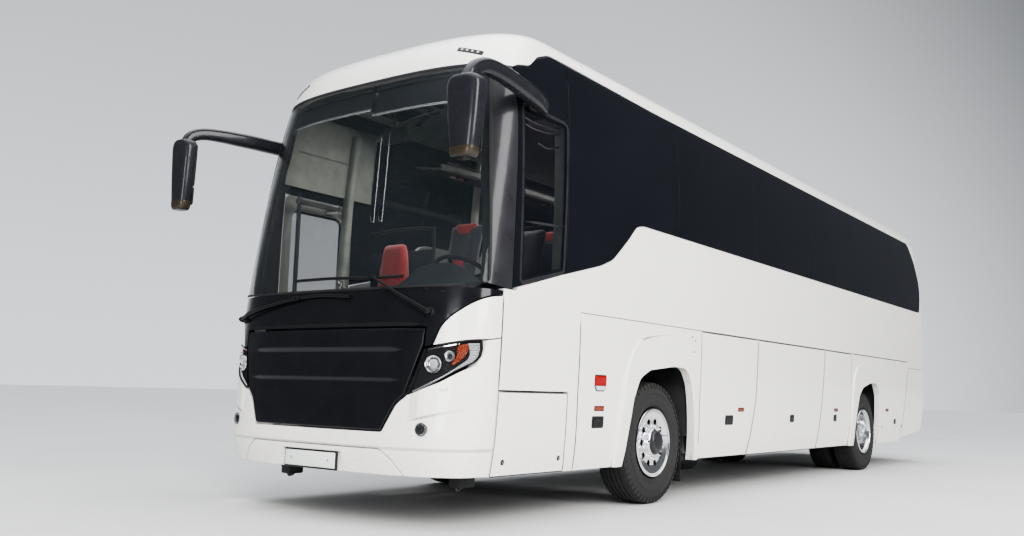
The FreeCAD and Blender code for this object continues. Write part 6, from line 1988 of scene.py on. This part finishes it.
world = bpy.data.worlds.new("studio")
scene.world = world
world.use_nodes = True
wn = world.node_tree
for n in list(wn.nodes):
    wn.nodes.remove(n)
wo = wn.nodes.new("ShaderNodeOutputWorld")
bg = wn.nodes.new("ShaderNodeBackground")
tc = wn.nodes.new("ShaderNodeTexCoord")
sx = wn.nodes.new("ShaderNodeSeparateXYZ")
wn.links.new(tc.outputs["Generated"], sx.inputs[0])


def wmath(op, a, b2=0.0, clamp=False):
    n = wn.nodes.new("ShaderNodeMath")
    n.operation = op
    n.use_clamp = clamp
    for sock, v in ((n.inputs[0], a), (n.inputs[1], b2)):
        if hasattr(v, "is_output"):
            wn.links.new(v, sock)
        else:
            sock.default_value = v
    return n.outputs[0]


def wrange(v, a0, a1, b0, b1):
    n = wn.nodes.new("ShaderNodeMapRange")
    n.interpolation_type = "SMOOTHSTEP"
    for i, q in enumerate((a0, a1, b0, b1)):
        n.inputs[i + 1].default_value = q
    wn.links.new(v, n.inputs[0])
    return n.outputs[0]


# bright ceiling, pale wall behind the vehicle, dark flags to the right rear and to the front left
top = wrange(sx.outputs["Z"], 0.55, 0.95, 0.0, 1.0)
wall = wrange(wmath("ADD", wmath("MULTIPLY", sx.outputs["X"], -0.72), wmath("MULTIPLY", sx.outputs["Y"], 0.69)), 0.66, 0.90, 0.0, 1.0)
low = wrange(sx.outputs["Z"], -0.05, 0.45, 1.0, 0.55)
amt = wmath("ADD", wmath("ADD", 0.10, wmath("MULTIPLY", top, 1.9)), wmath("MULTIPLY", wmath("MULTIPLY", wall, low), 0.62))
cr = wn.nodes.new("ShaderNodeValToRGB")
cr.color_ramp.elements[0].position = 0.0
cr.color_ramp.elements[0].color = (0.86, 0.90, 0.95, 1)
cr.color_ramp.elements[1].position = 0.75
cr.color_ramp.elements[1].color = (0.93, 0.96, 1.0, 1)
wn.links.new(sx.outputs["Z"], cr.inputs[0])
wn.links.new(cr.outputs[0], bg.inputs["Color"])
wn.links.new(amt, bg.inputs["Strength"])
wn.links.new(bg.outputs[0], wo.inputs["Surface"])


def area(name, loc, target, size, power, col=(1, 1, 1), size_y=None):
    d = bpy.data.lights.new(name, "AREA")
    d.energy = power
    d.color = col
    d.size = size
    if size_y:
        d.shape = "RECTANGLE"
        d.size_y = size_y
    o = bpy.data.objects.new(name, d)
    scene.collection.objects.link(o)
    o.location = loc
    o.rotation_euler = (Vector(target) - Vector(loc)).to_track_quat("-Z", "Y").to_euler()
    return o


key = area("key", (14.0, -18.0, 11.0), (0, -3.0, 1.5), 11.0, 4200.0, (1.0, 0.985, 0.955))
area("side", (18.0, -3.0, 9.0), (1.0, 1.0, 1.2), 9.0, 2000.0, (1.0, 0.99, 0.97), 12.0)
area("front_low", (7.0, -19.0, 2.6), (0, -5.0, 1.0), 5.0, 450.0, (0.97, 0.98, 1.0))
cabin = area("cabin", (0.15, 1.6 - YS, 3.20), (0.1, 1.3 - YS, 1.6), 1.1, 48.0, (1.0, 0.97, 0.92))
saloon = area("saloon", (0.0, 4.4 - YS, 3.44), (0.0, 4.4 - YS, 1.5), 0.9, 80.0, (1.0, 0.97, 0.92), 3.0)
for o in (key, cabin, saloon):
    o.visible_glossy = False

cam_data = bpy.data.cameras.new("camera")
cam = bpy.data.objects.new("camera", cam_data)
scene.collection.objects.link(cam)
yaw, pitch, roll = math.radians(36.978), math.radians(7.384), math.radians(1.587)
fw = Vector((-math.sin(yaw) * math.cos(pitch), math.cos(yaw) * math.cos(pitch), math.sin(pitch)))
rt = Vector((math.cos(yaw), math.sin(yaw), 0.0))
up = rt.cross(fw)
rt2 = math.cos(roll) * rt + math.sin(roll) * up
up2 = -math.sin(roll) * rt + math.cos(roll) * up
mw = Matrix(((rt2.x, up2.x, -fw.x, 5.212), (rt2.y, up2.y, -fw.y, -4.612 - YS), (rt2.z, up2.z, -fw.z, 0.928), (0, 0, 0, 1)))
cam.matrix_world = mw
cam_data.sensor_fit = "HORIZONTAL"
cam_data.sensor_width = 36.0
cam_data.lens = 950.433 / 1024.0 * 36.0
cam_data.clip_start = 0.05
cam_data.clip_end = 500.0
scene.camera = cam
scene.view_settings.view_transform = "AgX"
scene.view_settings.look = "AgX - Medium High Contrast"
scene.view_settings.exposure = 0.68
